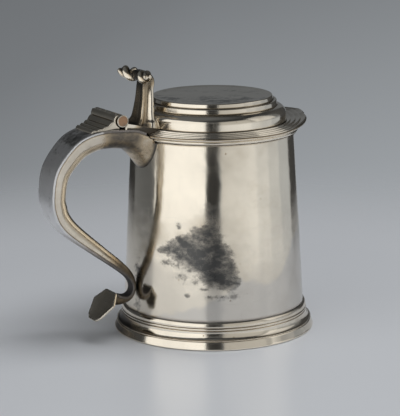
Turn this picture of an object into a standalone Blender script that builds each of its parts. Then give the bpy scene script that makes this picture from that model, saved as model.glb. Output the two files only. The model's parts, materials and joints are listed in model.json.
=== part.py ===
"""Lidded silver tankard: a tapered barrel on a moulded foot, a hollow handle and a hinged stepped lid.

Heights run up from the table. A reach is a distance out from the barrel's axis on the handle's side,
which is -X; the lid's peak points to +X. Every piece is built about the barrel's axis, and the empty
barrel_axis then carries it to where the middle of the whole object stands over the origin.
"""
import math

import bmesh
import bpy
from mathutils import Matrix, Vector

# Clearances between pieces
SEAT_GAP = 0.0003
BEZEL_PLAY = 0.0008
HINGE_PLAY = 0.0001
NOTCH_PLAY = 0.0006

# Barrel and bottom plate
MOUTH_HEIGHT = 0.1352
BARREL_TOP_RADIUS = 0.0537
BARREL_BASE_RADIUS = 0.0611
BARREL_WALL = 0.0008
BARREL_START = 0.0020
PLATE_HEIGHT = 0.0040
PLATE_THICKNESS = 0.0010

# Foot moulding: height of each band, from the top, and how far it stands out from the barrel
FOOT_TOP_BAND = 0.0046
FOOT_COVE = 0.0064
FOOT_STRIP = 0.0020
FOOT_BASE_BAND = 0.0044
FOOT_TOP_OUT = 0.0016
FOOT_COVE_OUT = 0.0038
FOOT_STRIP_OUT = 0.0048
FOOT_BASE_OUT = 0.0056
FOOT_ROUND = 0.0009
FOOT_WALL = 0.0010
FOOT_RIM = 0.0018

# Lip moulding round the mouth
LIP_HEIGHT = 0.0030
LIP_OUT = 0.0030
LIP_ROUND = 0.0014

# Lid shell, from its brim up
LID_WALL = 0.0009
BRIM_OVERHANG = 0.0022
BRIM_EDGE = 0.0016
BRIM_RISE = 0.0034
BRIM_BREAK = 0.55
BRIM_BREAK_RISE = 0.35
BRIM_ROUND = 0.95
DRUM_INSET = 0.0044
DRUM_HEIGHT = 0.0040
LOWER_OVOLO_HEIGHT = 0.0052
LOWER_OVOLO_WIDTH = 0.0038
UPPER_OVOLO_HEIGHT = 0.0041
UPPER_OVOLO_WIDTH = 0.0035
TOP_BEAD_HEIGHT = 0.0026
TOP_BEAD_WIDTH = 0.0030
TOP_DISH = 0.0007
TOP_CENTRE_RADIUS = 0.0120
PEAK_BULGE = 0.0066
PEAK_POINT = 0.0039
PEAK_LIFT = 0.0022
PEAK_HALF_ANGLE = math.radians(58)
POINT_HALF_ANGLE = math.radians(13)

# Bezel inside the mouth
BEZEL_WALL = 0.0010
BEZEL_DEPTH = 0.0040
BEZEL_TAPER = 0.0005

# Handle
HANDLE_RISE = 0.0073
TAIL_RISE = 0.0112
STRAP_THICKNESS = 0.0014
STRAP_OVERHANG = 0.0005
BELLY_WALL = 0.0010
THINNEST_HOLLOW = 0.4
HANDLE_SPREAD = 0.0671
HANDLE_DEPTH = 0.0150
SHIELD_LENGTH = 0.0228
SHIELD_WIDTH = 0.0280
SHIELD_THICKNESS = 0.0015
SHIELD_TILT = math.radians(40)

# Strap's outer face, as shares of the handle's height and spread, the hinge's length and the handle's depth
HANDLE_STATIONS = (
    (0.917, -0.119, 0.973, 1.467),
    (0.957, 0.051, 0.959, 1.053),
    (0.983, 0.158, 0.919, 0.987),
    (0.997, 0.294, 0.865, 0.933),
    (1.000, 0.458, 0.797, 0.940),
    (0.984, 0.627, 0.719, 1.000),
    (0.935, 0.788, 0.670, 1.020),
    (0.796, 0.966, 0.608, 0.960),
    (0.636, 1.000, 0.573, 0.893),
    (0.552, 0.972, 0.530, 0.880),
    (0.476, 0.906, 0.470, 0.820),
    (0.393, 0.765, 0.416, 0.713),
    (0.251, 0.432, 0.324, 0.533),
    (0.158, 0.212, 0.270, 0.433),
    (0.100, 0.091, 0.232, 0.320),
    (0.056, 0.051, 0.216, 0.207),
    (0.019, 0.058, 0.222, 0.220),
    (0.000, 0.100, 0.243, 0.300),
    (0.009, 0.171, 0.311, 0.440),
    (0.034, 0.249, 0.405, 0.600),
)

# Shield's outline, as shares of its length down from the top edge and of its half width
SHIELD_OUTLINE = (
    (0.000, 0.493),
    (0.386, 1.000),
    (0.864, 0.614),
    (1.000, 0.329),
)

# Hinge between handle and lid
HINGE_SETBACK = 0.0169
HINGE_RISE = 0.0059
HINGE_LENGTH = 0.0370
KNUCKLE_RADIUS = 0.0048
KNUCKLE_COUNT = 5
KNUCKLE_GAP = 0.0003
PIN_RADIUS = 0.0016
PLUG_RADIUS = 0.0039
PLUG_THICKNESS = 0.0012
PLUG_PROUD = 0.0003

# Reeded drop below the hinge, whose upper edge curls round the knuckles
DROP_LENGTH = 0.0189
DROP_END_SHARE = 0.63
DROP_REEDS = 4
DROP_END_THICKNESS = 0.0007
DROP_REED_DEPTH = 0.0007
DROP_FALL = 3.2
CURL_THICKNESS = 0.0008
CURL_ANGLE = 45

# Cradles under the knuckles: degrees below the level at their foot, and at the lid's crest
CRADLE_FOOT = 60
CRADLE_CREST = 12

# Hinge plate on the lid
LEAF_THICKNESS = 0.0017
LEAF_INNER_WIDTH = 0.0270
LEAF_COVE = 0.0075

# Thumbpiece
STEM_HEIGHT = 0.0306
STEM_DEPTH = 0.0078
STEM_WIDTH = 0.0240
STEM_FLAT = 0.68
SCROLL_LENGTH = 0.0145
SCROLL_RADIUS = 0.0048
SCROLL_TIP_RADIUS = 0.0020
SCROLL_RISE = 0.0018
SCROLL_SWEEP = 0.0014
SCROLL_FLATNESS = 0.74
SCROLL_TURNS = 1.5
SCROLL_TAPER = 1.6

# Stem's stations: reach beyond the drum, height, depth and width, as shares of depth, height, depth and width
STEM_STATIONS = (
    (0.244, 0.000, 1.231, 1.000),
    (0.269, 0.085, 1.077, 0.729),
    (0.244, 0.268, 1.051, 0.575),
    (0.128, 0.497, 0.897, 0.500),
    (0.064, 0.725, 0.897, 0.442),
    (0.050, 0.900, 1.050, 0.400),
    (0.400, 1.000, 0.950, 0.362),
    (1.000, 1.000, 0.897, 0.358),
)

# Facet counts, and the distance below which turned points are joined
ROUND_STEPS = 64
KNUCKLE_STEPS = 24
ARC_STEPS = 4
LINING_STEPS = 2
BELLY_STEPS = 8
STEPS_PER_STATION = 3
STEM_STEPS = 2
SCROLL_RINGS = 12
SCROLL_STEPS = 12
REED_STEPS = 6
MERGE_DISTANCE = 0.00001

# Sizes that follow from the ones above
FOOT_HEIGHT = FOOT_TOP_BAND + FOOT_COVE + FOOT_STRIP + FOOT_BASE_BAND
LIP_RADIUS = BARREL_TOP_RADIUS + LIP_OUT
BRIM_RADIUS = LIP_RADIUS + BRIM_OVERHANG
BRIM_HEIGHT = MOUTH_HEIGHT + SEAT_GAP
BRIM_TOP = BRIM_HEIGHT + BRIM_EDGE
DRUM_RADIUS = BARREL_TOP_RADIUS - DRUM_INSET
DRUM_FOOT = BRIM_TOP + BRIM_RISE
SHOULDER = DRUM_FOOT + DRUM_HEIGHT
LOWER_OVOLO_TOP = SHOULDER + LOWER_OVOLO_HEIGHT
UPPER_OVOLO_TOP = LOWER_OVOLO_TOP + UPPER_OVOLO_HEIGHT
LID_TOP = UPPER_OVOLO_TOP + TOP_BEAD_HEIGHT
UPPER_OVOLO_RADIUS = DRUM_RADIUS - LOWER_OVOLO_WIDTH
TOP_BEAD_RADIUS = UPPER_OVOLO_RADIUS - UPPER_OVOLO_WIDTH
TOP_RADIUS = TOP_BEAD_RADIUS - TOP_BEAD_WIDTH
PEAK_REACH = BRIM_RADIUS + PEAK_BULGE + PEAK_POINT
HANDLE_TOP = MOUTH_HEIGHT + HANDLE_RISE
HANDLE_TAIL = FOOT_HEIGHT + TAIL_RISE
KNUCKLE_CLEAR = KNUCKLE_RADIUS + SEAT_GAP
HINGE_REACH = BRIM_RADIUS + HINGE_SETBACK
HINGE_HEIGHT = HANDLE_TOP + HINGE_RISE
LEAF_BOTTOM = DRUM_FOOT + SEAT_GAP
LEAF_TOP = LEAF_BOTTOM + LEAF_THICKNESS
STEM_SEAT = LEAF_TOP + SEAT_GAP

# Colour and roughness of each finish, and the angle past which an edge is shaded sharp
SILVER = ((0.80, 0.78, 0.74), 0.15)
WORN_SILVER = ((0.72, 0.69, 0.63), 0.24)
TARNISHED = ((0.50, 0.46, 0.41), 0.30)
COPPER = ((0.72, 0.50, 0.36), 0.35)
STEEL = ((0.45, 0.44, 0.43), 0.35)
SHARP_ANGLE = math.radians(35)


def wall_radius(height):
    """Outer radius of the barrel's straight taper at a height."""
    share = height / MOUTH_HEIGHT
    return BARREL_BASE_RADIUS + (BARREL_TOP_RADIUS - BARREL_BASE_RADIUS) * share


def arc(centre, radii, start, end, steps=ARC_STEPS):
    """Points on an elliptical arc, given as radius and height, between two angles in degrees."""
    points = []
    for step in range(steps + 1):
        angle = math.radians(start + (end - start) * step / steps)
        points.append((centre[0] + radii[0] * math.cos(angle), centre[1] + radii[1] * math.sin(angle)))
    return points


def smooth_path(stations, end_direction, steps):
    """Catmull-Rom curve through stations whose first two values are a reach and a height."""
    span = math.dist(stations[-1][:2], stations[-2][:2])
    ahead = [stations[-2][0] + 2 * span * end_direction[0], stations[-2][1] + 2 * span * end_direction[1]]
    behind = [2 * first - second for first, second in zip(stations[0], stations[1])]
    knots = [behind, *stations, [*ahead, *stations[-1][2:]]]
    samples = []
    for index in range(1, len(knots) - 2):
        before, here, there, after = knots[index - 1:index + 3]
        for step in range(steps):
            t = step / steps
            samples.append([
                0.5 * (2 * b + (c - a) * t + (2 * a - 5 * b + 4 * c - d) * t ** 2
                       + (3 * b - a - 3 * c + d) * t ** 3)
                for a, b, c, d in zip(before, here, there, after)
            ])
    samples.append(list(stations[-1]))
    return samples


def path_normals(samples, end_direction):
    """Unit normals of a path in the reach and height plane, on the right hand of its direction."""
    normals = []
    for index in range(len(samples)):
        before = samples[max(index - 1, 0)]
        after = samples[min(index + 1, len(samples) - 1)]
        run, rise = after[0] - before[0], after[1] - before[1]
        if index == len(samples) - 1:
            run, rise = end_direction
        length = math.hypot(run, rise)
        normals.append((rise / length, -run / length))
    return normals


def place(reach, side, height):
    """Point of the tankard from its reach, its place across the handle and its height."""
    return Vector((-reach, side, height))


def handle_samples():
    """Strap path as reach, height, width and depth, with the normal that points into the handle."""
    stations = []
    for share, out, width, depth in HANDLE_STATIONS:
        height = HANDLE_TAIL + (HANDLE_TOP - HANDLE_TAIL) * share
        reach = wall_radius(height) + HANDLE_SPREAD * out
        stations.append((reach, height, HINGE_LENGTH * width, HANDLE_DEPTH * depth))
    end = (math.cos(SHIELD_TILT), math.sin(SHIELD_TILT))
    samples = smooth_path(stations, end, STEPS_PER_STATION)
    return samples, path_normals(samples, end)


HANDLE_PATH, HANDLE_NORMALS = handle_samples()
HANDLE_REACH = max(sample[0] for sample in HANDLE_PATH)
AXIS_OFFSET = (HANDLE_REACH - PEAK_REACH) / 2


def strap_height(reach):
    """Height of the strap's upper run at a reach, read from its path."""
    for here, there in zip(HANDLE_PATH, HANDLE_PATH[1:]):
        if here[0] <= reach <= there[0]:
            share = (reach - here[0]) / (there[0] - here[0])
            return here[1] + (there[1] - here[1]) * share
    raise ValueError("no strap under the hinge")


def peak(angle):
    """How far the brim's outline stands out at an angle from the lid's front."""
    angle = abs(math.remainder(angle, 2 * math.pi))
    bulge = 0.0
    if angle < PEAK_HALF_ANGLE:
        bulge = PEAK_BULGE * math.cos(math.pi / 2 * angle / PEAK_HALF_ANGLE) ** 2
    return bulge + PEAK_POINT * max(0.0, 1 - angle / POINT_HALF_ANGLE)


def clear_scene():
    for item in list(bpy.data.objects):
        bpy.data.objects.remove(item, do_unlink=True)


def new_collection(name):
    group = bpy.data.collections.new(name)
    bpy.context.scene.collection.children.link(group)
    return group


def new_empty(name, location, parent=None):
    empty = bpy.data.objects.new(name, None)
    empty.location = location
    empty.parent = parent
    PARTS.objects.link(empty)
    return empty


def metal(name, finish):
    """Principled material of one piece."""
    colour, roughness = finish
    material = bpy.data.materials.new(name)
    material.use_nodes = True
    shader = material.node_tree.nodes["Principled BSDF"]
    shader.inputs["Base Color"].default_value = (*colour, 1.0)
    shader.inputs["Roughness"].default_value = roughness
    shader.inputs["Metallic"].default_value = 1.0
    return material


def add_part(name, data, parent, finish):
    """Link one piece under its carrier, built about the barrel's axis and not the carrier's own."""
    part = bpy.data.objects.new(name, data)
    part.parent = parent
    if parent is not BARREL_AXIS:
        part.location = -parent.location
    data.materials.append(metal(name + "_finish", finish))
    PARTS.objects.link(part)
    return part


def add_cutter(name, data):
    cutter = bpy.data.objects.new(name, data)
    cutter.parent = BARREL_AXIS
    cutter.hide_render = True
    cutter.display_type = "WIRE"
    CUTTERS.objects.link(cutter)
    return cutter


def profile_mesh(name, profile, closed):
    """Mesh of the edges of a profile in radius and height, for turning."""
    mesh = bpy.data.meshes.new(name)
    edges = [(index, index + 1) for index in range(len(profile) - 1)]
    if closed:
        edges.append((len(profile) - 1, 0))
    mesh.from_pydata([(radius, 0.0, height) for radius, height in profile], edges, [])
    return mesh


def turn(part, steps):
    """Spin a profile all the way round its own Z axis."""
    screw = part.modifiers.new("turned", "SCREW")
    screw.axis = "Z"
    screw.angle = 2 * math.pi
    screw.steps = steps
    screw.render_steps = steps
    screw.use_merge_vertices = True
    screw.merge_threshold = MERGE_DISTANCE
    screw.use_smooth_shade = True


def turned(name, profile, parent, finish, steps=ROUND_STEPS):
    part = add_part(name, profile_mesh(name, profile, closed=profile[0][0] > 0), parent, finish)
    turn(part, steps)
    return part


def loft_mesh(name, rings):
    """Closed skin over rings of equally many points, capped at both ends."""
    bm = bmesh.new()
    loops = [[bm.verts.new(point) for point in ring] for ring in rings]
    count = len(rings[0])
    for lower, upper in zip(loops, loops[1:]):
        for index in range(count):
            following = (index + 1) % count
            bm.faces.new((lower[index], lower[following], upper[following], upper[index]))
    bm.faces.new(loops[0])
    bm.faces.new(loops[-1])
    bmesh.ops.recalc_face_normals(bm, faces=bm.faces)
    mesh = bpy.data.meshes.new(name)
    bm.to_mesh(mesh)
    bm.free()
    mesh.shade_smooth()
    mesh.set_sharp_from_angle(angle=SHARP_ANGLE)
    return mesh


def slab_mesh(name, outline, half_width):
    """Block with an outline in reach and height, whose width changes evenly with the reach."""
    near = [place(reach, -half_width(reach), height) for reach, height in outline]
    far = [place(reach, half_width(reach), height) for reach, height in outline]
    return loft_mesh(name, (near, far))


def cut(part, cutter):
    boolean = part.modifiers.new("cut_by_" + cutter.name, "BOOLEAN")
    boolean.operation = "DIFFERENCE"
    boolean.solver = "EXACT"
    boolean.object = cutter


def make_barrel():
    inner_base = wall_radius(BARREL_START) - BARREL_WALL
    profile = [
        (BARREL_TOP_RADIUS, MOUTH_HEIGHT),
        (wall_radius(BARREL_START), BARREL_START),
        (inner_base, BARREL_START),
        (BARREL_TOP_RADIUS - BARREL_WALL, MOUTH_HEIGHT),
    ]
    turned("barrel", profile, BARREL_AXIS, SILVER)


def make_bottom_plate():
    radius = wall_radius(PLATE_HEIGHT + PLATE_THICKNESS) - BARREL_WALL - SEAT_GAP
    profile = [
        (0.0, PLATE_HEIGHT + PLATE_THICKNESS),
        (radius, PLATE_HEIGHT + PLATE_THICKNESS),
        (radius, PLATE_HEIGHT),
        (0.0, PLATE_HEIGHT),
    ]
    turned("bottom_plate", profile, BARREL_AXIS, WORN_SILVER)


def make_foot_moulding():
    """Hollow moulding: round top band, cove, strip and round base band, open below."""
    under_band = FOOT_HEIGHT - FOOT_TOP_BAND
    under_cove = under_band - FOOT_COVE
    seat = wall_radius(FOOT_HEIGHT) + SEAT_GAP
    band = wall_radius(under_band) + FOOT_TOP_OUT
    cove = wall_radius(under_cove) + FOOT_COVE_OUT
    strip = wall_radius(FOOT_BASE_BAND) + FOOT_STRIP_OUT
    base = BARREL_BASE_RADIUS + FOOT_BASE_OUT - FOOT_ROUND
    profile = arc((seat + SEAT_GAP, under_band), (band - seat - SEAT_GAP, FOOT_TOP_BAND), 90, 0)
    profile += arc((cove, under_band), (cove - band + SEAT_GAP, FOOT_COVE), 180, 270)
    profile += [(strip, under_cove), (strip, FOOT_BASE_BAND)]
    profile += arc((base, FOOT_BASE_BAND / 2), (FOOT_ROUND, FOOT_BASE_BAND / 2), 90, -90)
    profile += [
        (base - FOOT_RIM, 0.0),
        (base - FOOT_RIM, FOOT_BASE_BAND),
        (cove - 2 * FOOT_WALL, under_cove),
        (wall_radius(under_band) + SEAT_GAP, under_band - FOOT_WALL),
        (seat, FOOT_HEIGHT),
    ]
    turned("foot_moulding", profile, BARREL_AXIS, SILVER)


def make_lip_moulding():
    bottom = MOUTH_HEIGHT - LIP_HEIGHT
    middle = (LIP_RADIUS - LIP_ROUND, MOUTH_HEIGHT - LIP_HEIGHT / 2)
    profile = arc(middle, (LIP_ROUND, LIP_HEIGHT / 2), 90, -90)
    profile += [
        (wall_radius(bottom) + SEAT_GAP, bottom),
        (BARREL_TOP_RADIUS + SEAT_GAP, MOUTH_HEIGHT),
    ]
    turned("lip_moulding", profile, BARREL_AXIS, SILVER)


def lid_profile():
    """Lid's skin from the middle of its top, down over the mouldings, to the foot of its drum."""
    points = [
        (TOP_CENTRE_RADIUS, LID_TOP - TOP_DISH),
        (TOP_RADIUS - TOP_BEAD_WIDTH / 2, LID_TOP - TOP_DISH / 2),
    ]
    points += arc((TOP_RADIUS, UPPER_OVOLO_TOP), (TOP_BEAD_WIDTH, TOP_BEAD_HEIGHT), 90, 0)
    points += arc(
        (TOP_BEAD_RADIUS, LOWER_OVOLO_TOP), (UPPER_OVOLO_WIDTH, UPPER_OVOLO_HEIGHT - SEAT_GAP), 90, 0
    )
    points += arc(
        (UPPER_OVOLO_RADIUS, SHOULDER), (LOWER_OVOLO_WIDTH, LOWER_OVOLO_HEIGHT - SEAT_GAP), 90, 0
    )
    points.append((DRUM_RADIUS, DRUM_FOOT))
    return points


def lid_lining():
    """Lid's inside from the foot of its drum up to the middle of its top."""
    lower = (LOWER_OVOLO_WIDTH - LID_WALL, LOWER_OVOLO_HEIGHT - LID_WALL - SEAT_GAP)
    upper = (UPPER_OVOLO_WIDTH - LID_WALL, UPPER_OVOLO_HEIGHT - LID_WALL - SEAT_GAP)
    ceiling = LID_TOP - TOP_DISH - LID_WALL
    points = [(DRUM_RADIUS - LID_WALL, DRUM_FOOT - LID_WALL)]
    points += arc((UPPER_OVOLO_RADIUS, SHOULDER), lower, 0, 90, LINING_STEPS)
    points += arc((TOP_BEAD_RADIUS, LOWER_OVOLO_TOP), upper, 0, 90, LINING_STEPS)
    points += [
        (TOP_BEAD_RADIUS - LID_WALL, UPPER_OVOLO_TOP),
        (TOP_RADIUS, ceiling),
        (TOP_CENTRE_RADIUS, ceiling),
    ]
    return points


def brim_profile():
    """Brim as share of its width and height over its underside, round its edge and back below."""
    return [
        (BRIM_BREAK, BRIM_EDGE + BRIM_BREAK_RISE * BRIM_RISE),
        (BRIM_ROUND, BRIM_EDGE),
        (1.0, BRIM_EDGE / 2),
        (BRIM_ROUND, 0.0),
        (BRIM_BREAK, 0.0),
    ]


def make_lid_shell():
    """Stepped lid in one skin, whose brim runs out into a peak at the front."""
    width = BRIM_RADIUS - DRUM_RADIUS
    angles = [2 * math.pi * step / ROUND_STEPS for step in range(ROUND_STEPS)]
    rings = []
    for radius, height in lid_profile():
        rings.append([(radius * math.cos(a), radius * math.sin(a), height) for a in angles])
    for share, height in brim_profile():
        ring = []
        for a in angles:
            radius = DRUM_RADIUS + share * (width + peak(a))
            lift = PEAK_LIFT * share * peak(a) / (PEAK_BULGE + PEAK_POINT)
            ring.append((radius * math.cos(a), radius * math.sin(a), BRIM_HEIGHT + height + lift))
        rings.append(ring)
    for radius, height in lid_lining():
        rings.append([(radius * math.cos(a), radius * math.sin(a), height) for a in angles])
    add_part("lid_shell", loft_mesh("lid_shell", rings), LID_HINGE, SILVER)


def brim_underside(radius):
    """Height of the slope under the brim, between its flat and the drum."""
    flat = DRUM_RADIUS + BRIM_BREAK * (BRIM_RADIUS - DRUM_RADIUS)
    inside = DRUM_RADIUS - LID_WALL
    share = (flat - radius) / (flat - inside)
    return BRIM_HEIGHT + (DRUM_FOOT - LID_WALL - BRIM_HEIGHT) * share


def make_lid_bezel():
    """Thin ring under the lid that centres it in the mouth, drawn in at its foot to swing clear."""
    outer = BARREL_TOP_RADIUS - BARREL_WALL - BEZEL_PLAY
    inner = outer - BEZEL_WALL
    foot = MOUTH_HEIGHT - BEZEL_DEPTH
    profile = [
        (outer, brim_underside(outer) - 2 * SEAT_GAP),
        (outer - BEZEL_TAPER, foot),
        (inner - BEZEL_TAPER, foot),
        (inner, brim_underside(inner) - 2 * SEAT_GAP),
    ]
    turned("lid_bezel", profile, LID_HINGE, WORN_SILVER)


def make_handle_cutter():
    """Space that the barrel, lip and lid brim take out of the handle's ends."""
    lip_foot = MOUTH_HEIGHT - LIP_HEIGHT - SEAT_GAP
    brim = BRIM_RADIUS + NOTCH_PLAY
    profile = [
        (0.0, LID_TOP),
        (brim, LID_TOP),
        (brim, MOUTH_HEIGHT - SEAT_GAP),
        (LIP_RADIUS + SEAT_GAP, MOUTH_HEIGHT - SEAT_GAP),
        (LIP_RADIUS + SEAT_GAP, lip_foot),
        (wall_radius(lip_foot) + SEAT_GAP, lip_foot),
        (wall_radius(FOOT_HEIGHT) + SEAT_GAP, FOOT_HEIGHT),
        (0.0, FOOT_HEIGHT),
    ]
    cutter = add_cutter("handle_cutter", profile_mesh("handle_cutter", profile, closed=False))
    turn(cutter, ROUND_STEPS)
    return cutter


def make_handle_strap(cutter):
    """Flat strap along the handle's back, from the lid's brim to the shield."""
    rings = []
    samples = list(zip(HANDLE_PATH, HANDLE_NORMALS))
    for (reach, height, width, depth), (out, up) in samples[STEPS_PER_STATION:]:
        inner = (reach + out * STRAP_THICKNESS, height + up * STRAP_THICKNESS)
        rings.append([
            place(reach, -width / 2, height),
            place(reach, width / 2, height),
            place(inner[0], width / 2, inner[1]),
            place(inner[0], -width / 2, inner[1]),
        ])
    strap = add_part("handle_strap", loft_mesh("handle_strap", rings), BARREL_AXIS, WORN_SILVER)
    cut(strap, cutter)


def make_handle_belly(cutter):
    """Rounded inner half of the hollow handle: a channel closed by the strap."""
    start = STRAP_THICKNESS + SEAT_GAP
    rings = []
    for (reach, height, width, depth), (out, up) in zip(HANDLE_PATH, HANDLE_NORMALS):
        half = width / 2 - STRAP_OVERHANG
        drop = depth - start
        hollow_half = max(half - BELLY_WALL, THINNEST_HOLLOW * half)
        hollow_drop = max(drop - BELLY_WALL, THINNEST_HOLLOW * drop)
        skin = arc((0.0, 0.0), (half, drop), 0, 180, BELLY_STEPS)
        lining = arc((0.0, 0.0), (hollow_half, hollow_drop), 180, 0, BELLY_STEPS)
        rings.append([
            place(reach + out * (start + deep), side, height + up * (start + deep))
            for side, deep in skin + lining
        ])
    belly = add_part("handle_belly", loft_mesh("handle_belly", rings), BARREL_AXIS, SILVER)
    cut(belly, cutter)


def make_handle_shield():
    """Flat shield that closes the handle's lower end."""
    half = [(SHIELD_LENGTH * along, SHIELD_WIDTH / 2 * side) for along, side in SHIELD_OUTLINE]
    outline = half + [(along, -side) for along, side in reversed(half)]
    curve = bpy.data.curves.new("handle_shield", "CURVE")
    curve.dimensions = "2D"
    curve.fill_mode = "BOTH"
    curve.extrude = SHIELD_THICKNESS / 2
    spline = curve.splines.new("POLY")
    spline.points.add(len(outline) - 1)
    for point, (along, side) in zip(spline.points, outline):
        point.co = (along, side, 0.0, 1.0)
    spline.use_cyclic_u = True
    shield = add_part("handle_shield", curve, BARREL_AXIS, TARNISHED)
    reach, height = HANDLE_PATH[-1][:2]
    standoff = SEAT_GAP + SHIELD_THICKNESS / 2
    run, rise = math.cos(SHIELD_TILT), math.sin(SHIELD_TILT)
    axes = Matrix(((-rise, 0.0, -run), (0.0, -1.0, 0.0), (-run, 0.0, rise)))
    shield.rotation_euler = axes.to_euler()
    shield.location = place(reach + run * standoff, 0.0, height + rise * standoff)


def make_hinge_drop():
    """Reeded plate on the handle's back that curls round the knuckles and tapers away below them."""
    axis = (HINGE_REACH, HINGE_HEIGHT)
    back = KNUCKLE_CLEAR + CURL_THICKNESS
    crest = HINGE_REACH + back
    end = HINGE_REACH + DROP_LENGTH
    cradle = arc(axis, (KNUCKLE_CLEAR, KNUCKLE_CLEAR), -CRADLE_FOOT, CURL_ANGLE, 2 * ARC_STEPS)
    curl = arc(axis, (back, back), CURL_ANGLE, 0)
    crest_thickness = HINGE_HEIGHT - strap_height(crest) - SEAT_GAP
    top = []
    steps = DROP_REEDS * REED_STEPS
    for step in range(1, steps + 1):
        share = step / steps
        reach = crest + (end - crest) * share
        thickness = DROP_END_THICKNESS
        thickness += (crest_thickness - DROP_END_THICKNESS) * (1 - share) ** DROP_FALL
        thickness += DROP_REED_DEPTH * abs(math.sin(math.pi * DROP_REEDS * share))
        top.append((reach, strap_height(reach) + SEAT_GAP + thickness))
    back_over = [reach for reach, height in reversed(top)] + [crest, cradle[0][0]]
    under = [(reach, strap_height(reach) + SEAT_GAP) for reach in back_over]

    def half_width(reach):
        share = (reach - HINGE_REACH) / DROP_LENGTH
        return HINGE_LENGTH * (1 + (DROP_END_SHARE - 1) * share) / 2

    mesh = slab_mesh("hinge_drop", cradle + curl + top + under, half_width)
    add_part("hinge_drop", mesh, BARREL_AXIS, TARNISHED)


def make_lid_cutter():
    """Space that the lid's mouldings take out of the pieces soldered to them."""
    profile = [(0.0, LID_TOP + SEAT_GAP)]
    profile += [(radius + SEAT_GAP, height + SEAT_GAP) for radius, height in lid_profile()]
    profile += [(DRUM_RADIUS + SEAT_GAP, MOUTH_HEIGHT), (0.0, MOUTH_HEIGHT)]
    cutter = add_cutter("lid_cutter", profile_mesh("lid_cutter", profile, closed=False))
    turn(cutter, ROUND_STEPS)
    return cutter


def make_hinge_plate(cutter):
    """Plate soldered to the lid, with a cove that rises to the lid's knuckles."""
    axis = (HINGE_REACH, HINGE_HEIGHT)
    cradle = arc(axis, (KNUCKLE_CLEAR, KNUCKLE_CLEAR), 180 + CRADLE_FOOT, 180 + CRADLE_CREST)
    crest_reach, crest_height = cradle[-1]
    foot_reach = cradle[0][0]
    inner = DRUM_RADIUS - LID_WALL
    rise = crest_height - LEAF_TOP
    bend = crest_reach - LEAF_COVE
    cove = arc((bend, crest_height), (LEAF_COVE, rise), 360, 270)
    outline = cradle + cove[1:]
    outline += [
        (inner, LEAF_TOP),
        (inner, LEAF_BOTTOM),
        (bend, max(LEAF_BOTTOM, strap_height(bend) + 2 * SEAT_GAP)),
        (foot_reach, strap_height(foot_reach) + 2 * SEAT_GAP),
    ]

    def half_width(reach):
        share = (reach - inner) / (HINGE_REACH - inner)
        return (LEAF_INNER_WIDTH + (HINGE_LENGTH - 2 * PLUG_THICKNESS - LEAF_INNER_WIDTH) * share) / 2

    plate = add_part("lid_hinge_plate", slab_mesh("lid_hinge_plate", outline, half_width), LID_HINGE, SILVER)
    cut(plate, cutter)


def along_hinge(part, side, turn_over=False):
    """Lay a piece that was turned about its own Z axis along the hinge, at a place across the handle."""
    part.rotation_euler = (math.radians(90 if turn_over else -90), 0.0, 0.0)
    part.location += place(HINGE_REACH, side, HINGE_HEIGHT)


def make_knuckles():
    """Tubes of the hinge, the handle's and the lid's by turns, with sunk ends for the plugs."""
    length = (HINGE_LENGTH - (KNUCKLE_COUNT - 1) * KNUCKLE_GAP) / KNUCKLE_COUNT
    bore = PIN_RADIUS + HINGE_PLAY
    socket = PLUG_RADIUS + HINGE_PLAY
    sunk = length / 2 - PLUG_THICKNESS + PLUG_PROUD - SEAT_GAP
    outside = [(KNUCKLE_RADIUS, length / 2), (KNUCKLE_RADIUS, -length / 2), (bore, -length / 2)]
    plain = outside + [(bore, length / 2)]
    ended = outside + [(bore, sunk), (socket, sunk), (socket, length / 2)]
    for index in range(KNUCKLE_COUNT):
        on_handle = index % 2 == 0
        owner = "handle" if on_handle else "lid"
        parent = BARREL_AXIS if on_handle else LID_HINGE
        profile = ended if index in (0, KNUCKLE_COUNT - 1) else plain
        name = f"{owner}_knuckle_{index // 2 + 1}"
        knuckle = turned(name, profile, parent, TARNISHED, KNUCKLE_STEPS)
        side = (length + KNUCKLE_GAP) * (index - (KNUCKLE_COUNT - 1) / 2)
        along_hinge(knuckle, side, turn_over=index == 0)


def make_hinge_pin():
    """Wire pin through all the knuckles, with a plug let into each end of the hinge."""
    half = HINGE_LENGTH / 2 + PLUG_PROUD - PLUG_THICKNESS - SEAT_GAP
    profile = [(0.0, half), (PIN_RADIUS, half), (PIN_RADIUS, -half), (0.0, -half)]
    along_hinge(turned("hinge_pin", profile, BARREL_AXIS, STEEL, KNUCKLE_STEPS), 0.0)
    plug = [(0.0, PLUG_THICKNESS), (PLUG_RADIUS - PLUG_PROUD, PLUG_THICKNESS)]
    plug += [(PLUG_RADIUS, PLUG_THICKNESS - PLUG_PROUD), (PLUG_RADIUS, 0.0), (0.0, 0.0)]
    for name, sign in (("hinge_plug_near", -1), ("hinge_plug_far", 1)):
        part = turned(name, plug, BARREL_AXIS, COPPER, KNUCKLE_STEPS)
        along_hinge(part, sign * (half + SEAT_GAP), turn_over=sign < 0)


def stem_samples():
    stations = [
        (DRUM_RADIUS + STEM_DEPTH * out, STEM_SEAT + STEM_HEIGHT * up, STEM_DEPTH * depth, STEM_WIDTH * width)
        for out, up, depth, width in STEM_STATIONS
    ]
    end = (1.0, 0.0)
    samples = smooth_path(stations, end, STEM_STEPS)
    normals = path_normals(samples, end)
    normals[0] = (1.0, 0.0)
    return samples, normals


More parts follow.
